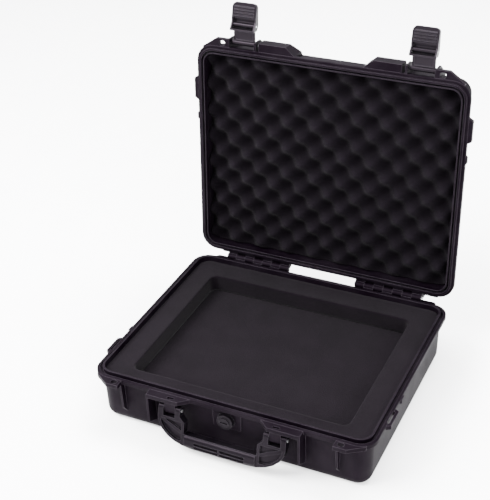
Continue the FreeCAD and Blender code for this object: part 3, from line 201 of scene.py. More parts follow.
@dataclass
class GroupLibrary:
    """Shader node groups that the finishes share, each built once."""

    EDGE_SAMPLES: ClassVar[int] = 6
    FLAT_LIKENESS: ClassVar[float] = 0.995
    EDGE_LIKENESS: ClassVar[float] = 0.9
    PIT_SHARE: ClassVar[float] = 0.6
    FINE_SHARE: ClassVar[float] = 0.5
    FINE_SCALE: ClassVar[float] = 1.7
    SMUDGE_SCALE: ClassVar[float] = 14.0
    SMUDGE_RANGE: ClassVar[tuple[float, float]] = (0.35, 0.68)
    HAIR_TURN: ClassVar[Point] = (0.5, 0.3, 0.7)
    HAIR_STRETCH: ClassVar[Point] = (9.0, 160.0, 60.0)
    HAIR_SCALE: ClassVar[float] = 2.0
    HAIR_WIDTH: ClassVar[float] = 0.006
    HAIR_STRENGTH: ClassVar[float] = 0.6
    NOISE_MIDDLE: ClassVar[float] = 0.5
    WALL_SCALE: ClassVar[float] = 0.6
    PORE_HEIGHT: ClassVar[float] = 0.7
    WALL_HEIGHT: ClassVar[float] = 0.5
    PORE_RANGE: ClassVar[tuple[float, float]] = (0.1, 0.7)
    TONE_SCALE: ClassVar[float] = 22.0
    TONE_RANGE: ClassVar[tuple[float, float]] = (0.35, 0.65)

    built: dict[str, bpy.types.NodeTree] = field(default_factory=dict)

    def group(self, name: str, inputs: dict[str, float], outputs: dict[str, str],
              fill: Callable[[Nodes, bpy.types.Node, bpy.types.Node], None]) -> bpy.types.NodeTree:
        """Make a group, or give the one that was made before.

        Args:
            name: The group's name.
            inputs: Float inputs and their usual values.
            outputs: Output names and their socket kinds.
            fill: Adds the group's nodes between its input and output nodes.

        Returns:
            The node group.
        """
        if name not in self.built:
            tree = bpy.data.node_groups.new(name, "ShaderNodeTree")
            for label, value in inputs.items():
                socket = tree.interface.new_socket(
                    label, in_out="INPUT", socket_type="NodeSocketFloat")
                socket.default_value = value
            for label, kind in outputs.items():
                tree.interface.new_socket(label, in_out="OUTPUT", socket_type="NodeSocket" + kind)
            fill(Nodes(tree), tree.nodes.new("NodeGroupInput"), tree.nodes.new("NodeGroupOutput"))
            self.built[name] = tree
        return self.built[name]

    def place(self, nodes: Nodes, tree: bpy.types.NodeTree, **values: float) -> bpy.types.Node:
        """Put a group into a material with its own values.

        Args:
            nodes: The material's nodes.
            tree: The group.
            **values: Inputs, written with underscores for spaces.

        Returns:
            The group node.
        """
        node = nodes.tree.nodes.new("ShaderNodeGroup")
        node.node_tree = tree
        for key, value in values.items():
            node.inputs[key.replace("_", " ")].default_value = value
        return node

    def edge_catch(self) -> bpy.types.NodeTree:
        """Softened edges of mouldings: a rounded normal, and a mask of the edges that the plastic
        uses for a painted highlight.
        """
        def fill(nodes: Nodes, start: bpy.types.Node, end: bpy.types.Node) -> None:
            """Compare the rounded normal with the plain one."""
            bevel = nodes.add("Bevel", samples=self.EDGE_SAMPLES)
            nodes.link(start.outputs["Radius"], bevel.inputs["Radius"])
            surface = nodes.add("NewGeometry")
            likeness = nodes.add("VectorMath", operation="DOT_PRODUCT")
            nodes.link(bevel.outputs["Normal"], likeness.inputs[0])
            nodes.link(surface.outputs["Normal"], likeness.inputs[1])
            mask = nodes.remap(likeness.outputs["Value"], self.FLAT_LIKENESS,
                               self.EDGE_LIKENESS, 0.0, 1.0)
            nodes.link(mask, end.inputs["Mask"])
            nodes.link(bevel.outputs["Normal"], end.inputs["Normal"])
        return self.group("Edge catch", {"Radius": 0.0006},
                          {"Mask": "Float", "Normal": "Vector"}, fill)

    def spark_grain(self) -> bpy.types.NodeTree:
        """The fine pitted grain that a spark-eroded mould leaves on plastic."""
        def fill(nodes: Nodes, start: bpy.types.Node, end: bpy.types.Node) -> None:
            """Mix round pits with finer noise."""
            place = nodes.add("TexCoord")
            pits = nodes.add("TexVoronoi", feature="SMOOTH_F1", Smoothness=0.6)
            fine = nodes.add("TexNoise", Detail=3.0, Roughness=0.6)
            for texture in (pits, fine):
                nodes.link(place.outputs["Object"], texture.inputs["Vector"])
            nodes.link(start.outputs["Scale"], pits.inputs["Scale"])
            nodes.link(nodes.maths("MULTIPLY", start.outputs["Scale"], self.FINE_SCALE),
                       fine.inputs["Scale"])
            deep = nodes.maths("MULTIPLY", pits.outputs["Distance"], self.PIT_SHARE)
            slight = nodes.maths("MULTIPLY", fine.outputs["Fac"], self.FINE_SHARE)
            nodes.link(nodes.maths("ADD", deep, slight), end.inputs["Height"])
        return self.group("Spark grain", {"Scale": 1500.0}, {"Height": "Float"}, fill)

    def handling(self) -> bpy.types.NodeTree:
        """Faint rubbed patches and hairline scratches of a case in use."""
        def fill(nodes: Nodes, start: bpy.types.Node, end: bpy.types.Node) -> None:
            """Broad smudges, and thin lines that follow a stretched noise."""
            place = nodes.add("TexCoord")
            smudge = nodes.add("TexNoise", Scale=self.SMUDGE_SCALE, Detail=4.0, Roughness=0.55)
            nodes.link(place.outputs["Object"], smudge.inputs["Vector"])
            patches = nodes.remap(smudge.outputs["Fac"], *self.SMUDGE_RANGE, 0.0, 1.0)
            stretch = nodes.add("Mapping")
            stretch.inputs["Rotation"].default_value = self.HAIR_TURN
            stretch.inputs["Scale"].default_value = self.HAIR_STRETCH
            nodes.link(place.outputs["Object"], stretch.inputs["Vector"])
            hair = nodes.add("TexNoise", Scale=self.HAIR_SCALE, Detail=2.0)
            nodes.link(stretch.outputs["Vector"], hair.inputs["Vector"])
            offset = nodes.maths("SUBTRACT", hair.outputs["Fac"], self.NOISE_MIDDLE)
            lines = nodes.remap(nodes.maths("ABSOLUTE", offset), 0.0, self.HAIR_WIDTH, 1.0, 0.0)
            faint = nodes.maths("MULTIPLY", patches, self.HAIR_STRENGTH)
            gate = nodes.maths("MULTIPLY", lines, faint)
            nodes.link(patches, end.inputs["Smudge"])
            nodes.link(nodes.maths("MULTIPLY", gate, start.outputs["Scratches"]),
                       end.inputs["Scratch"])
        return self.group("Handling", {"Scratches": 0.5},
                          {"Smudge": "Float", "Scratch": "Float"}, fill)

    def foam_cells(self) -> bpy.types.NodeTree:
        """Open cells of cut foam: round pores with thin walls, and a slow unevenness."""
        def fill(nodes: Nodes, start: bpy.types.Node, end: bpy.types.Node) -> None:
            """Pores from one cell texture, tone from a broad noise."""
            place = nodes.add("TexCoord")
            pores = nodes.add("TexVoronoi", feature="F1")
            walls = nodes.add("TexNoise", Detail=4.0, Roughness=0.7)
            slow = nodes.add("TexNoise", Scale=self.TONE_SCALE, Detail=3.0, Roughness=0.5)
            for texture in (pores, walls, slow):
                nodes.link(place.outputs["Object"], texture.inputs["Vector"])
            nodes.link(start.outputs["Scale"], pores.inputs["Scale"])
            nodes.link(nodes.maths("MULTIPLY", start.outputs["Scale"], self.WALL_SCALE),
                       walls.inputs["Scale"])
            hollow = nodes.maths("MULTIPLY", pores.outputs["Distance"], self.PORE_HEIGHT)
            raised = nodes.maths("MULTIPLY", walls.outputs["Fac"], self.WALL_HEIGHT)
            nodes.link(nodes.maths("ADD", hollow, raised), end.inputs["Height"])
            nodes.link(nodes.remap(pores.outputs["Distance"], *self.PORE_RANGE, 1.0, 0.0),
                       end.inputs["Pore"])
            nodes.link(nodes.remap(slow.outputs["Fac"], *self.TONE_RANGE, 0.0, 1.0),
                       end.inputs["Tone"])
        return self.group("Foam cells", {"Scale": 900.0},
                          {"Height": "Float", "Pore": "Float", "Tone": "Float"}, fill)


def new_material(name: str) -> tuple[bpy.types.Material, Nodes, bpy.types.Node]:
    """Make an empty node material.

    Args:
        name: The material's name.

    Returns:
        The material, its nodes and its Principled shader.
    """
    material = bpy.data.materials.new(name)
    material.use_nodes = True
    return material, Nodes(material.node_tree), material.node_tree.nodes["Principled BSDF"]


@dataclass(frozen=True)
class MouldedPlastic:
    """Black moulded plastic with a fine grain, softened edges and a painted highlight along them,
    plus wear from smudges and scratches.
    """

    SCRATCHES: ClassVar[float] = 0.5
    # Share of the lighter tone painted along the edges as a highlight.
    EDGE_HIGHLIGHT: ClassVar[float] = 0.9
    SMUDGE_WEAR: ClassVar[float] = 0.12
    SCRATCH_WEAR: ClassVar[float] = 0.4
    SCRATCH_DULLING: ClassVar[float] = 0.1

    name: str
    deep: Colour
    # Lighter tone: painted highlight along the edges, and real wear where smudged or scratched.
    worn_and_edge_highlight: Colour
    roughness: float
    # Roughness taken off on smudged patches.
    rubbed_and_edge_highlight: float
    grain: float
    grain_depth: float
    edge: float
    specular: float

    def build(self, groups: GroupLibrary) -> bpy.types.Material:
        """Build the material.

        Args:
            groups: The shared shader groups.

        Returns:
            The material.
        """
        material, nodes, shader = new_material(self.name)
        shader.inputs["Specular IOR Level"].default_value = self.specular
        shader.inputs["Specular Tint"].default_value = VIOLET_GLOSS
        edges = groups.place(nodes, groups.edge_catch(), Radius=self.edge)
        grain = groups.place(nodes, groups.spark_grain(), Scale=self.grain)
        marks = groups.place(nodes, groups.handling(), Scratches=self.SCRATCHES)
        # Painted highlight: the edge mask lightens the colour along every edge.
        rubbed_and_edge_highlight = nodes.maths("MULTIPLY", edges.outputs["Mask"], self.EDGE_HIGHLIGHT)
        smudged = nodes.maths("MULTIPLY", marks.outputs["Smudge"], self.SMUDGE_WEAR)
        scratched = nodes.maths("MULTIPLY", marks.outputs["Scratch"], self.SCRATCH_WEAR)
        # Total lightening: painted edge highlight, plus wear from smudges and scratches.
        shade = nodes.maths("ADD", nodes.maths("ADD", rubbed_and_edge_highlight, smudged), scratched)
        nodes.link(nodes.mix(shade, self.deep, self.worn_and_edge_highlight), shader.inputs["Base Color"])
        gloss = nodes.maths("MULTIPLY", marks.outputs["Smudge"], self.rubbed_and_edge_highlight)
        level = nodes.maths("SUBTRACT", self.roughness, gloss)
        dulled = nodes.maths("MULTIPLY", marks.outputs["Scratch"], self.SCRATCH_DULLING)
        nodes.link(nodes.maths("ADD", level, dulled), shader.inputs["Roughness"])
        normal = nodes.bump(grain.outputs["Height"], self.grain_depth, edges.outputs["Normal"])
        nodes.link(normal, shader.inputs["Normal"])
        return material


@dataclass(frozen=True)
class CutFoam:
    """Charcoal open-cell foam, as it is left by a foam cutter, with painted shade in the pits where
    a height attribute is given.
    """

    SPECULAR: ClassVar[float] = 0.03
    SHEEN_ROUGHNESS: ClassVar[float] = 0.55
    TONE_SHARE: ClassVar[float] = 0.2
    PORE_SHARE: ClassVar[float] = 0.5
    # Painted shade in the pits: how fast it deepens with depth, and the tone added before it is
    # applied.
    PIT_SHADE_POWER: ClassVar[float] = 1.6
    PIT_SHADE_BASE: ClassVar[float] = 0.35
    PORE_ROUGHNESS: ClassVar[float] = 0.88

    name: str
    dark: Colour
    light: Colour
    cells: float
    depth: float
    sheen: float
    # Name of the height attribute that paints shade into the pits; empty for none.
    relief: str = ""

    def build(self, groups: GroupLibrary) -> bpy.types.Material:
        """Build the material.

        Args:
            groups: The shared shader groups.

        Returns:
            The material.
        """
        material, nodes, shader = new_material(self.name)
        shader.inputs["Specular IOR Level"].default_value = self.SPECULAR
        shader.inputs["Specular Tint"].default_value = VIOLET_GLOSS
        shader.inputs["Sheen Weight"].default_value = self.sheen
        shader.inputs["Sheen Roughness"].default_value = self.SHEEN_ROUGHNESS
        cells = groups.place(nodes, groups.foam_cells(), Scale=self.cells)
        tone = nodes.maths("ADD",
                           nodes.maths("MULTIPLY", cells.outputs["Tone"], self.TONE_SHARE),
                           nodes.maths("MULTIPLY", cells.outputs["Pore"], self.PORE_SHARE))
        # Painted shade: the tone is scaled down with depth, so the egg-crate's pits are darker.
        if self.relief:
            height = nodes.add("Attribute", attribute_name=self.relief)
            pit_shading = nodes.maths("POWER", height.outputs["Fac"], self.PIT_SHADE_POWER)
            tone = nodes.maths("MULTIPLY", pit_shading, nodes.maths("ADD", tone, self.PIT_SHADE_BASE))
        nodes.link(nodes.mix(tone, self.dark, self.light), shader.inputs["Base Color"])
        nodes.link(nodes.remap(cells.outputs["Pore"], 0.0, 1.0, 1.0, self.PORE_ROUGHNESS),
                   shader.inputs["Roughness"])
        nodes.link(nodes.bump(cells.outputs["Height"], self.depth), shader.inputs["Normal"])
        return material


@dataclass(frozen=True)
class DrawnSteel:
    """Drawn steel of the pins, with a fine grain and duller patches."""

    GRAIN: ClassVar[float] = 2600.0
    GRAIN_DEPTH: ClassVar[float] = 0.00001
    DULLING: ClassVar[float] = 0.15

    name: str
    colour: Colour
    dull: Colour
    roughness: float

    def build(self, groups: GroupLibrary) -> bpy.types.Material:
        """Build the material.

        Args:
            groups: The shared shader groups.

        Returns:
            The material.
        """
        material, nodes, shader = new_material(self.name)
        marks = groups.place(nodes, groups.handling())
        grain = groups.place(nodes, groups.spark_grain(), Scale=self.GRAIN)
        nodes.link(nodes.mix(marks.outputs["Smudge"], self.colour, self.dull),
                   shader.inputs["Base Color"])
        shader.inputs["Metallic"].default_value = 1.0
        nodes.link(nodes.remap(marks.outputs["Smudge"], 0.0, 1.0, self.roughness,
                               self.roughness + self.DULLING), shader.inputs["Roughness"])
        nodes.link(nodes.bump(grain.outputs["Height"], self.GRAIN_DEPTH), shader.inputs["Normal"])
        return material


@dataclass(frozen=True)
class SealRubber:
    """Dull black rubber of the seals."""

    SPECULAR: ClassVar[float] = 0.05
    EDGE: ClassVar[float] = 0.0005
    GRAIN: ClassVar[float] = 2200.0
    GRAIN_DEPTH: ClassVar[float] = 0.00002
    DULLING: ClassVar[float] = 0.1

    name: str
    deep: Colour
    bloom: Colour
    roughness: float

    def build(self, groups: GroupLibrary) -> bpy.types.Material:
        """Build the material.

        Args:
            groups: The shared shader groups.

        Returns:
            The material.
        """
        material, nodes, shader = new_material(self.name)
        shader.inputs["Specular IOR Level"].default_value = self.SPECULAR
        edges = groups.place(nodes, groups.edge_catch(), Radius=self.EDGE)
        grain = groups.place(nodes, groups.spark_grain(), Scale=self.GRAIN)
        marks = groups.place(nodes, groups.handling())
        nodes.link(nodes.mix(marks.outputs["Smudge"], self.deep, self.bloom),
                   shader.inputs["Base Color"])
        nodes.link(nodes.remap(marks.outputs["Smudge"], 0.0, 1.0, self.roughness,
                               self.roughness + self.DULLING), shader.inputs["Roughness"])
        normal = nodes.bump(grain.outputs["Height"], self.GRAIN_DEPTH, edges.outputs["Normal"])
        nodes.link(normal, shader.inputs["Normal"])
        return material


def rounded_loop(half_x: float, half_y: float, corner: float) -> Loop:
    """Points round a rectangle with round corners.

    Args:
        half_x: Half its width.
        half_y: Half its length.
        corner: Corner radius.

    Returns:
        The points, anticlockwise from the back end of the right side.
    """
    points: Loop = []
    corners = ((half_x - corner, half_y - corner, 0.0), (corner - half_x, half_y - corner, 90.0),
               (corner - half_x, corner - half_y, 180.0), (half_x - corner, corner - half_y, 270.0))
    for index, (x, y, start) in enumerate(corners):
        for step in range(CORNER_STEPS + 1):
            turn = math.radians(start + 90.0 * step / CORNER_STEPS)
            points.append((x + corner * math.cos(turn), y + corner * math.sin(turn)))
        next_x, next_y, next_start = corners[(index + 1) % 4]
        begin = points[-1]
        turn = math.radians(next_start)
        finish = (next_x + corner * math.cos(turn), next_y + corner * math.sin(turn))
        for step in range(1, SIDE_STEPS):
            share = step / SIDE_STEPS
            points.append((begin[0] + (finish[0] - begin[0]) * share,
                           begin[1] + (finish[1] - begin[1]) * share))
    return points


def waver(point: Vector, size: float, amount: float) -> float:
    """Slow unevenness at a point.

    Args:
        point: Where, in metres.
        size: Length of one swell, in metres.
        amount: Greatest height, in any unit.

    Returns:
        The height at the point, in the same unit.
    """
    return noise.noise(point / size) * amount


@dataclass
class SoftBlock:
    """A foam piece that is built anew and takes the place of a CAD node."""

    node: str
    body: Body
    slot: Slot
    fill: float
    relief: ClassVar[str] = "relief"

    def finish_piece(self, name: str, points: list[Point], faces: list[Face],
                     material: bpy.types.Material) -> bpy.types.Object:
        """Turn points and faces into a piece of the case.

        Args:
            name: The piece's name.
            points: Corners, in metres.
            faces: Corner numbers of each face.
            material: The foam's finish.

        Returns:
            The piece.
        """
        mesh = bpy.data.meshes.new(name)
        mesh.from_pydata(points, [], faces)
        mesh.validate()
        mesh.update()
        mesh.materials.append(material)
        mesh.shade_smooth()
        piece = bpy.data.objects.new(name, mesh)
        bpy.context.scene.collection.objects.link(piece)
        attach(piece, self.body.value)
        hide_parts(self.node)
        LOG.info("%s: %d points, replaces %s", name, len(points), self.node)
        return piece


def ring_faces(rows: int, count: int) -> list[Face]:
    """Quads between rings of points, the last of which joins the first.

    Args:
        rows: Number of rings.
        count: Points in each ring.

    Returns:
        The faces.
    """
    faces: list[Face] = []
    for row in range(rows):
        low, high = row * count, ((row + 1) % rows) * count
        for i in range(count):
            j = (i + 1) % count
            faces.append((low + i, low + j, high + j, high + i))
    return faces


@dataclass
class BayFrame(SoftBlock):
    """The foam frame in the base: soft top edges and slightly wavy cut walls."""

    SWELL_OFFSET: ClassVar[Vector] = Vector((0.3, 0.1, 0.0))

    node: str = "base_foam"
    body: Body = Body.BASE
    slot: Slot = Slot.FOAM
    fill: float = 0.9
    half_width: float = 218.4
    half_depth: float = 176.9
    corner: float = 19.0
    low: float = 55.3
    high: float = 83.0
    draft: float = math.tan(math.radians(1.5))
    bay_half_width: float = 178.5
    bay_back: float = 134.5
    bay_front: float = -148.5
    bay_corner: float = 12.0
    soft_edge: float = 2.2
    relief_half: float = 17.0
    relief_top: float = 78.2
    relief_deep: float = 9.0
    relief_step: float = 0.1
    wall_levels: tuple[float, ...] = (58.0, 64.0, 72.0)
    bay_levels: tuple[float, ...] = (76.0, 70.0, 64.0, 59.0)
    edge_steps: int = 4
    top_steps: int = 12
    sway: float = 0.35
    sway_across: float = 0.05
    sway_along: float = 0.06
    sag: float = 0.5
    sag_swell: float = 0.045

    def build(self, material: bpy.types.Material) -> bpy.types.Object:
        """Build the frame as one ring of rings.

        Args:
            material: The foam's finish.

        Returns:
            The piece.
        """
        walls, edge = self.outer_rings()
        outer = edge[-1][0]
        rings = walls + edge + self.inner_rings(outer)
        points: list[Point] = []
        for row, (loop, z, crown) in enumerate(rings):
            for x, y in loop:
                points.append(self.settle(x, y, z, crown, row < len(walls)))
        faces = ring_faces(len(rings), len(outer))
        return self.finish_piece("bay_frame_foam", points, faces, material)

    def outer_rings(self) -> tuple[list[Ring], list[Ring]]:
        """Rings up the outer walls, and over their soft top edge.

        Returns:
            The walls' rings and the edge's rings.
        """
        walls: list[Ring] = []
        for z in (self.low, *self.wall_levels, self.relief_top,
                  self.relief_top + self.relief_step, self.high - self.soft_edge):
            inset = (self.high - z) * self.draft
            loop = rounded_loop(self.half_width - inset, self.half_depth - inset, self.corner)
            walls.append((loop, z, 0.0))
        edge: list[Ring] = []
        for step in range(1, self.edge_steps + 1):
            turn = math.radians(90 * step / self.edge_steps)
            inset = self.soft_edge * (1 - math.cos(turn))
            z = self.high - self.soft_edge * (1 - math.sin(turn))
            loop = rounded_loop(self.half_width - inset, self.half_depth - inset,
                                self.corner - inset)
            edge.append((loop, z, 0.0))
        return walls, edge

    def inner_rings(self, outer: Loop) -> list[Ring]:
        """Rings across the top, over the bay's soft edge and down its walls.

        Args:
            outer: The outline that the top starts from.

        Returns:
            The rings.
        """
        rings: list[Ring] = []
        inner = self.bay_loop(self.soft_edge)
        for step in range(1, self.top_steps):
            share = step / self.top_steps
            loop = [(a[0] + (b[0] - a[0]) * share, a[1] + (b[1] - a[1]) * share)
                    for a, b in zip(outer, inner)]
            rings.append((loop, self.high, math.sin(math.pi * share)))
        for step in range(self.edge_steps + 1):
            turn = math.radians(90 * step / self.edge_steps)
            grow = self.soft_edge * (1 - math.sin(turn))
            z = self.high - self.soft_edge * (1 - math.cos(turn))
            rings.append((self.bay_loop(grow), z, 0.0))
        for z in (*self.bay_levels, self.low):
            rings.append((self.bay_loop(0.0), z, 0.0))
        return rings

    def bay_loop(self, grow: float) -> Loop:
        """The bay's outline, grown outwards.

        Args:
            grow: How far it is grown.

        Returns:
            The outline's points.
        """
        half_depth = (self.bay_back - self.bay_front) / 2
        middle = (self.bay_back + self.bay_front) / 2
        loop = rounded_loop(self.bay_half_width + grow, half_depth + grow, self.bay_corner + grow)
        return [(x, y + middle) for x, y in loop]

    def settle(self, x: float, y: float, z: float, crown: float, outside: bool) -> Point:
        """Give a point the small unevenness of cut foam, and cut the valve's relief.

        Args:
            x: Across, in millimetres.
            y: Along, in millimetres.
            z: Height, in millimetres.
            crown: How far the point is from the edges of the top, from 0 to 1.
            outside: True on the outer walls.

        Returns:
            The point in metres.
        """
        here = Vector((x, y, z)) * MM
        below = z <= self.relief_top + self.relief_step / 2
        if outside and y < 0 and abs(x) < self.relief_half and below:
            y += self.relief_deep
        elif not outside:
            x += waver(here, self.sway_across, self.sway) * (1.0 - crown)
            y += waver(here + self.SWELL_OFFSET, self.sway_along, self.sway) * (1.0 - crown)
        z += crown * (waver(here, self.sag_swell, self.sag) - self.sag)
        return (x * MM, y * MM, z * MM)


@dataclass
class SlabFoam(SoftBlock):
    """A foam slab with a shaped face and plain sides."""

    half_width: float
    half_depth: float
    corner: float
    back: float
    back_bevel: float
    step: float = 4.0

    def face_height(self, x: float, y: float) -> float:
        """Height of the shaped face at a place, in millimetres."""
        raise NotImplementedError

    def build_slab(self, name: str, material: bpy.types.Material,
                   place: Matrix) -> bpy.types.Object:
        """Build the slab from a grid for its face and rings for its sides.

        Args:
            name: The piece's name.
            material: The foam's finish.
            place: Where the slab goes, from the closed case's frame.

        Returns:
            The piece.
        """
        columns = int(2 * self.half_width / self.step)
        rows = int(2 * self.half_depth / self.step)
        flat = self.face_points(columns, rows)
        face_count = len(flat)
        up = 1 if self.back < flat[0].z else -1
        across = columns + 1
        faces: list[Face] = []
        for j in range(rows):
            for i in range(columns):
                faces.append((j * across + i, j * across + i + 1,
                              (j + 1) * across + i + 1, (j + 1) * across + i))
        edge = self.face_edge(columns, rows)
        bevel = self.back_bevel
        shrink_x, shrink_y = 1 - bevel / self.half_width, 1 - bevel / self.half_depth
        rim = [flat[index] for index in edge]
        flat += [Vector((point.x, point.y, self.back + up * bevel)) for point in rim]
        flat += [Vector((point.x * shrink_x, point.y * shrink_y, self.back)) for point in rim]
        count = len(edge)
        side, slope = face_count, face_count + count
        for k in range(count):
            n = (k + 1) % count
            faces.append((edge[k], side + k, side + n, edge[n]))
            faces.append((side + k, slope + k, slope + n, side + n))
        faces.append(tuple(slope + k for k in reversed(range(count))))
        if up < 0:
            faces = [face[::-1] for face in faces]
        points = [tuple(place @ (point * MM)) for point in flat]
        piece = self.finish_piece(name, points, faces, material)
        self.mark_relief(piece, flat, face_count)
        return piece

    def face_points(self, columns: int, rows: int) -> list[Vector]:
        """Points of the shaped face, row by row, inside the slab's round corners.

        Args:
            columns: Steps across.
            rows: Steps along.

        Returns:
            The points, in millimetres.
        """
        points: list[Vector] = []
        for j in range(rows + 1):
            y = -self.half_depth + 2 * self.half_depth * j / rows
            over = max(0.0, abs(y) - (self.half_depth - self.corner))
            reach = self.half_width - self.corner + math.sqrt(
                max(0.0, self.corner ** 2 - over ** 2))
            for i in range(columns + 1):
                x = (-1 + 2 * i / columns) * reach
                points.append(Vector((x, y, self.face_height(x, y))))
        return points

    @staticmethod
    def face_edge(columns: int, rows: int) -> list[int]:
        """Numbers of the face's outer points, once round it.

        Args:
            columns: Steps across.
            rows: Steps along.

        Returns:
            The numbers.
        """
        across = columns + 1
        edge = list(range(across))
        edge += [j * across + columns for j in range(1, rows + 1)]
        edge += [rows * across + i for i in range(columns - 1, -1, -1)]
        edge += [j * across for j in range(rows - 1, 0, -1)]
        return edge

    def mark_relief(self, piece: bpy.types.Object, flat: list[Vector], face_count: int) -> None:
        """Note on every point how high it stands, for the painted shade that darkens the foam's
        pits.

        Args:
            piece: The finished piece.
            flat: Its points before the slab was placed, in millimetres.
            face_count: How many of them are on the shaped face.
        """
        rise = [abs(point.z - self.back) for point in flat]
        low, top = min(rise[:face_count]), max(rise)
        heights = piece.data.attributes.new(self.relief, "FLOAT", "POINT")
        for index, height in enumerate(rise):
            heights.data[index].value = max(0.0, (height - low) / (top - low))


@dataclass
class BayPad(SlabFoam):
    """The pad under the bay, with a slightly uneven top."""

    node: str = "base_foam_pad"
    body: Body = Body.BASE
    slot: Slot = Slot.FOAM
    fill: float = 0.9
    half_width: float = 217.6
    half_depth: float = 176.1
    corner: float = 19.0
    back: float = 3.5
    back_bevel: float = 11.0
    top: float = 55.0
    pressed: float = 0.35
    unevenness: float = 0.3
    swell: float = 0.04

    def face_height(self, x: float, y: float) -> float:
        """Height of the pad's top, in millimetres."""
        here = Vector((x, y, 0.0)) * MM
        return self.top - self.pressed + waver(here, self.swell, self.unevenness)

    def build(self, material: bpy.types.Material) -> bpy.types.Object:
        """Build the pad with the given finish."""
        return self.build_slab("bay_pad_foam", material, Matrix.Identity(4))


@dataclass
class CrateFoam(SlabFoam):
    """The egg-crate foam in the lid: staggered rounded peaks and pits."""

    SWELL_OFFSET: ClassVar[Vector] = Vector((0.5, 0.2, 0.1))

    node: str = "lid_foam"
    body: Body = Body.LID
    slot: Slot = Slot.CRATE_FOAM
    fill: float = 0.8
    half_width: float = 216.3
    half_depth: float = 174.8
    corner: float = 17.3
    back: float = 137.1
    back_bevel: float = 11.0
    step: float = 1.9
    peak: float = 96.0
    pit: float = 115.0
    pitch_x: float = 24.5
    pitch_y: float = 23.5
    drift: float = 1.6
    drift_swell: float = 0.07
    unevenness: float = 0.03
    swell: float = 0.03

    def face_height(self, x: float, y: float) -> float:
        """Height of the egg-crate face, in millimetres."""
        here = Vector((x, y, 0.0)) * MM
        shift_x = waver(here, self.drift_swell, self.drift)
        shift_y = waver(here + self.SWELL_OFFSET, self.drift_swell, self.drift)
        wave = (math.cos(math.pi * (x + shift_x) / self.pitch_x)
                * math.cos(math.pi * (y + shift_y) / self.pitch_y))
        share = wave * 0.5 + 0.5 + waver(here, self.swell, self.unevenness)
        share = min(1.0, max(0.0, share))
        return self.pit + (self.peak - self.pit) * share

    def build(self, material: bpy.types.Material, place: Matrix) -> bpy.types.Object:
        """Build the foam with the given finish, turned open with the lid."""
        return self.build_slab("crate_foam_lid", material, place)


@dataclass
class SoftPieces:
    """The foam pieces, which are built anew with uneven, soft-edged shapes."""

    groups: GroupLibrary
    bay: CutFoam = CutFoam(
        "Bay foam", dark=(0.0004, 0.00015, 0.00045), light=(0.0027, 0.0017, 0.0028),
        cells=1100.0, depth=0.00045, sheen=0.015)
    crate: CutFoam = CutFoam(
        "Egg-crate foam", dark=(0.0002, 0.00012, 0.00025), light=(0.0033, 0.0026, 0.0036),
        cells=1000.0, depth=0.0004, sheen=0.006, relief=SoftBlock.relief)

    def build(self, lid_place: Matrix) -> None:
        """Build the foam of the base and of the lid.

        Args:
            lid_place: How the lid is turned from closed to open.
        """
        bay_foam = self.bay.build(self.groups)
        crate_foam = self.crate.build(self.groups)
        BayFrame().build(bay_foam)
        BayPad().build(bay_foam)
        CrateFoam().build(crate_foam, lid_place)


@dataclass
class HardPieces:
    """The moulded, steel and rubber pieces, which keep their CAD shapes."""

    groups: GroupLibrary
    shell: MouldedPlastic = MouldedPlastic(
        "Moulded plastic", deep=(0.0006, 0.0001, 0.0007), worn_and_edge_highlight=(0.0187, 0.0155, 0.0192),
        roughness=0.6, rubbed_and_edge_highlight=0.08, grain=1300.0, grain_depth=0.00006, edge=0.0009,
        specular=0.021)
    handle: MouldedPlastic = MouldedPlastic(
        "Handle plastic", deep=(0.0004, 0.0002, 0.0005), worn_and_edge_highlight=(0.018, 0.0158, 0.0187),
        roughness=0.4, rubbed_and_edge_highlight=0.1, grain=1500.0, grain_depth=0.00004, edge=0.0008,
        specular=0.03)
    latch: MouldedPlastic = MouldedPlastic(
        "Latch plastic", deep=(0.0013, 0.001, 0.0014), worn_and_edge_highlight=(0.018, 0.016, 0.0187),
        roughness=0.4, rubbed_and_edge_highlight=0.08, grain=1500.0, grain_depth=0.00003, edge=0.0008,
        specular=0.065)
    valve: MouldedPlastic = MouldedPlastic(
        "Valve plastic", deep=(0.0006, 0.0004, 0.0007), worn_and_edge_highlight=(0.0155, 0.0137, 0.016),
        roughness=0.4, rubbed_and_edge_highlight=0.06, grain=1700.0, grain_depth=0.00003, edge=0.0005,
        specular=0.03)
    steel: DrawnSteel = DrawnSteel(
        "Pin steel", colour=(0.48, 0.48, 0.49), dull=(0.3, 0.3, 0.31), roughness=0.28)
    rubber: SealRubber = SealRubber(
        "Seal rubber", deep=(0.0007, 0.00065, 0.0008), bloom=(0.003, 0.0028, 0.0031),
        roughness=0.62)

    def dress(self, nodes: dict[str, bpy.types.Object]) -> None:
        """Give every carried-over node its finish.

        Args:
            nodes: The frame's objects by node name.
        """
        finishes = {
            self.shell: ("base_shell", "lid_shell"),
            self.handle: ("carry_handle",),
            self.latch: ("latch_link_right", "latch_link_left",
                         "latch_lever_right", "latch_lever_left"),
            self.valve: ("valve_body", "valve_nut", "valve_knob"),
            self.steel: ("hinge_pins", "handle_pins", "latch_pins",
                         "lever_pin_right", "lever_pin_left"),
            self.rubber: ("lid_seal", "valve_gasket"),
        }
        for finish, names in finishes.items():
            material = finish.build(self.groups)
            for name in names:
                mesh = nodes[name].data
                mesh.materials.clear()
                mesh.materials.append(material)
                LOG.info("%s: %s", name, finish.name)


@dataclass(frozen=True)
class SoftLight:
    """One softbox of the studio."""

    name: str
    place: Point
    aim: Point
    width: float
    height: float
    power: float

    def build(self) -> None:
        """Hang the softbox and turn it to what it lights."""
        light = bpy.data.lights.new(self.name, "AREA")
        light.shape = "RECTANGLE"
        light.size = self.width
        light.size_y = self.height
        light.energy = self.power
        lamp = bpy.data.objects.new(self.name, light)
        lamp.location = self.place
        away = Vector(self.place) - Vector(self.aim)
        lamp.rotation_euler = away.to_track_quat("Z", "Y").to_euler()
        bpy.context.scene.collection.objects.link(lamp)


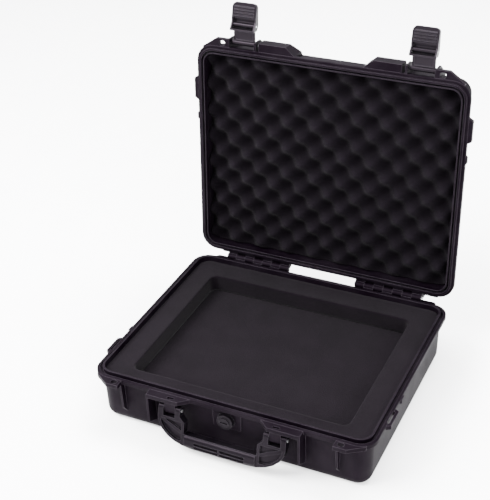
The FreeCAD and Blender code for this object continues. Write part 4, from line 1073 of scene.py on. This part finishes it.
@dataclass
class Studio:
    """Pale floor, soft light and the camera at the photograph's angle."""

    # The camera's distance and shifts are in rim widths, from the middle of the rim.
    rim_width: float = 0.460
    parting_height: float = 0.088
    azimuth: float = 26.098
    elevation: float = 31.815
    distance: float = 4.020
    across: float = -0.107
    upwards: float = 0.307
    roll: float = -2.138
    focal_pixels: float = 1161.84
    frame_pixels: float = 500.0
    sensor: float = 36.0
    floor_half: float = 6.0
    floor_tone: Colour = (0.95, 0.95, 0.952)
    floor_wear: float = 0.985
    floor_roughness: float = 0.85
    room_tone: tuple[float, float, float, float] = (0.97, 0.975, 1.0, 1.0)
    room_light: float = 3.4
    softboxes: tuple[SoftLight, ...] = (
        SoftLight("Key softbox", place=(-1.5, -1.2, 2.3), aim=(0.0, 0.0, 0.1),
                  width=1.8, height=1.4, power=560.0),
        SoftLight("Fill softbox", place=(1.9, -1.6, 1.3), aim=(0.0, 0.0, 0.1),
                  width=1.6, height=1.6, power=210.0),
        SoftLight("Top softbox", place=(0.2, 1.0, 2.4), aim=(0.0, 0.1, 0.2),
                  width=2.2, height=1.2, power=330.0),
    )

    def build(self, groups: GroupLibrary) -> None:
        """Build the floor, the lights and the camera.

        Args:
            groups: The shared shader groups.
        """
        self.lay_floor(groups)
        for softbox in self.softboxes:
            softbox.build()
        self.light_room()
        self.place_camera()

    def lay_floor(self, groups: GroupLibrary) -> None:
        """Lay a plain pale floor."""
        material, nodes, shader = new_material("Studio floor")
        marks = groups.place(nodes, groups.handling())
        # Smudge tone of the floor; no highlight is painted on the floor.
        worn_and_edge_highlight = tuple(value * self.floor_wear for value in self.floor_tone)
        nodes.link(nodes.mix(marks.outputs["Smudge"], self.floor_tone, worn_and_edge_highlight),
                   shader.inputs["Base Color"])
        shader.inputs["Roughness"].default_value = self.floor_roughness
        half = self.floor_half
        mesh = bpy.data.meshes.new("studio_floor")
        corners = [(-half, -half, 0.0), (half, -half, 0.0), (half, half, 0.0), (-half, half, 0.0)]
        mesh.from_pydata(corners, [], [(0, 1, 2, 3)])
        mesh.materials.append(material)
        floor = bpy.data.objects.new("studio_floor", mesh)
        bpy.context.scene.collection.objects.link(floor)

    def light_room(self) -> None:
        """Fill the room with an even, slightly cool white light."""
        world = bpy.data.worlds.new("Studio room")
        world.use_nodes = True
        sky = world.node_tree.nodes["Background"]
        sky.inputs["Color"].default_value = self.room_tone
        sky.inputs["Strength"].default_value = self.room_light
        bpy.context.scene.world = world

    def place_camera(self) -> None:
        """Put the camera where the photograph was taken from."""
        turn, rise = math.radians(self.azimuth), math.radians(self.elevation)
        tilt = math.radians(self.roll)
        back = Vector((math.sin(turn) * math.cos(rise), -math.cos(turn) * math.cos(rise),
                       math.sin(rise)))
        right = Vector((math.cos(turn), math.sin(turn), 0.0))
        above = back.cross(right)
        level = right * math.cos(tilt) + above * math.sin(tilt)
        upright = above * math.cos(tilt) - right * math.sin(tilt)
        eye = back * self.distance + level * self.across + upright * self.upwards
        camera = bpy.data.cameras.new("Photo camera")
        camera.sensor_width = self.sensor
        camera.lens = self.focal_pixels / self.frame_pixels * self.sensor
        view = bpy.data.objects.new("Photo camera", camera)
        axes = Matrix((level, upright, back)).transposed().to_4x4()
        place = eye * self.rim_width + Vector((0.0, 0.0, self.parting_height))
        view.matrix_world = Matrix.Translation(place) @ axes
        bpy.context.scene.collection.objects.link(view)
        bpy.context.scene.camera = view


def lid_opening(frame: dict) -> Matrix:
    """How the lid is turned from closed to where it rests open.


    Returns:
        The turn about the hinge line.
    """
    hinge = next(joint for joint in frame["record"]["behaviour"]["joints"]
                 if joint["name"] == "lid_hinge")
    pivot = Vector(hinge["pos_m"])
    angle = math.radians(-hinge["range_deg"][0])
    turn = Matrix.Rotation(angle, 4, Vector(hinge["axis"]))
    return Matrix.Translation(pivot) @ turn @ Matrix.Translation(-pivot)


def main() -> None:
    """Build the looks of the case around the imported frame."""
    logging.basicConfig(level=logging.INFO, format="%(name)s: %(message)s")
    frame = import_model()
    groups = GroupLibrary()
    HardPieces(groups).dress(frame["nodes"])
    SoftPieces(groups).build(lid_opening(frame))
    Studio().build(groups)


if __name__ == "__main__":
    main()
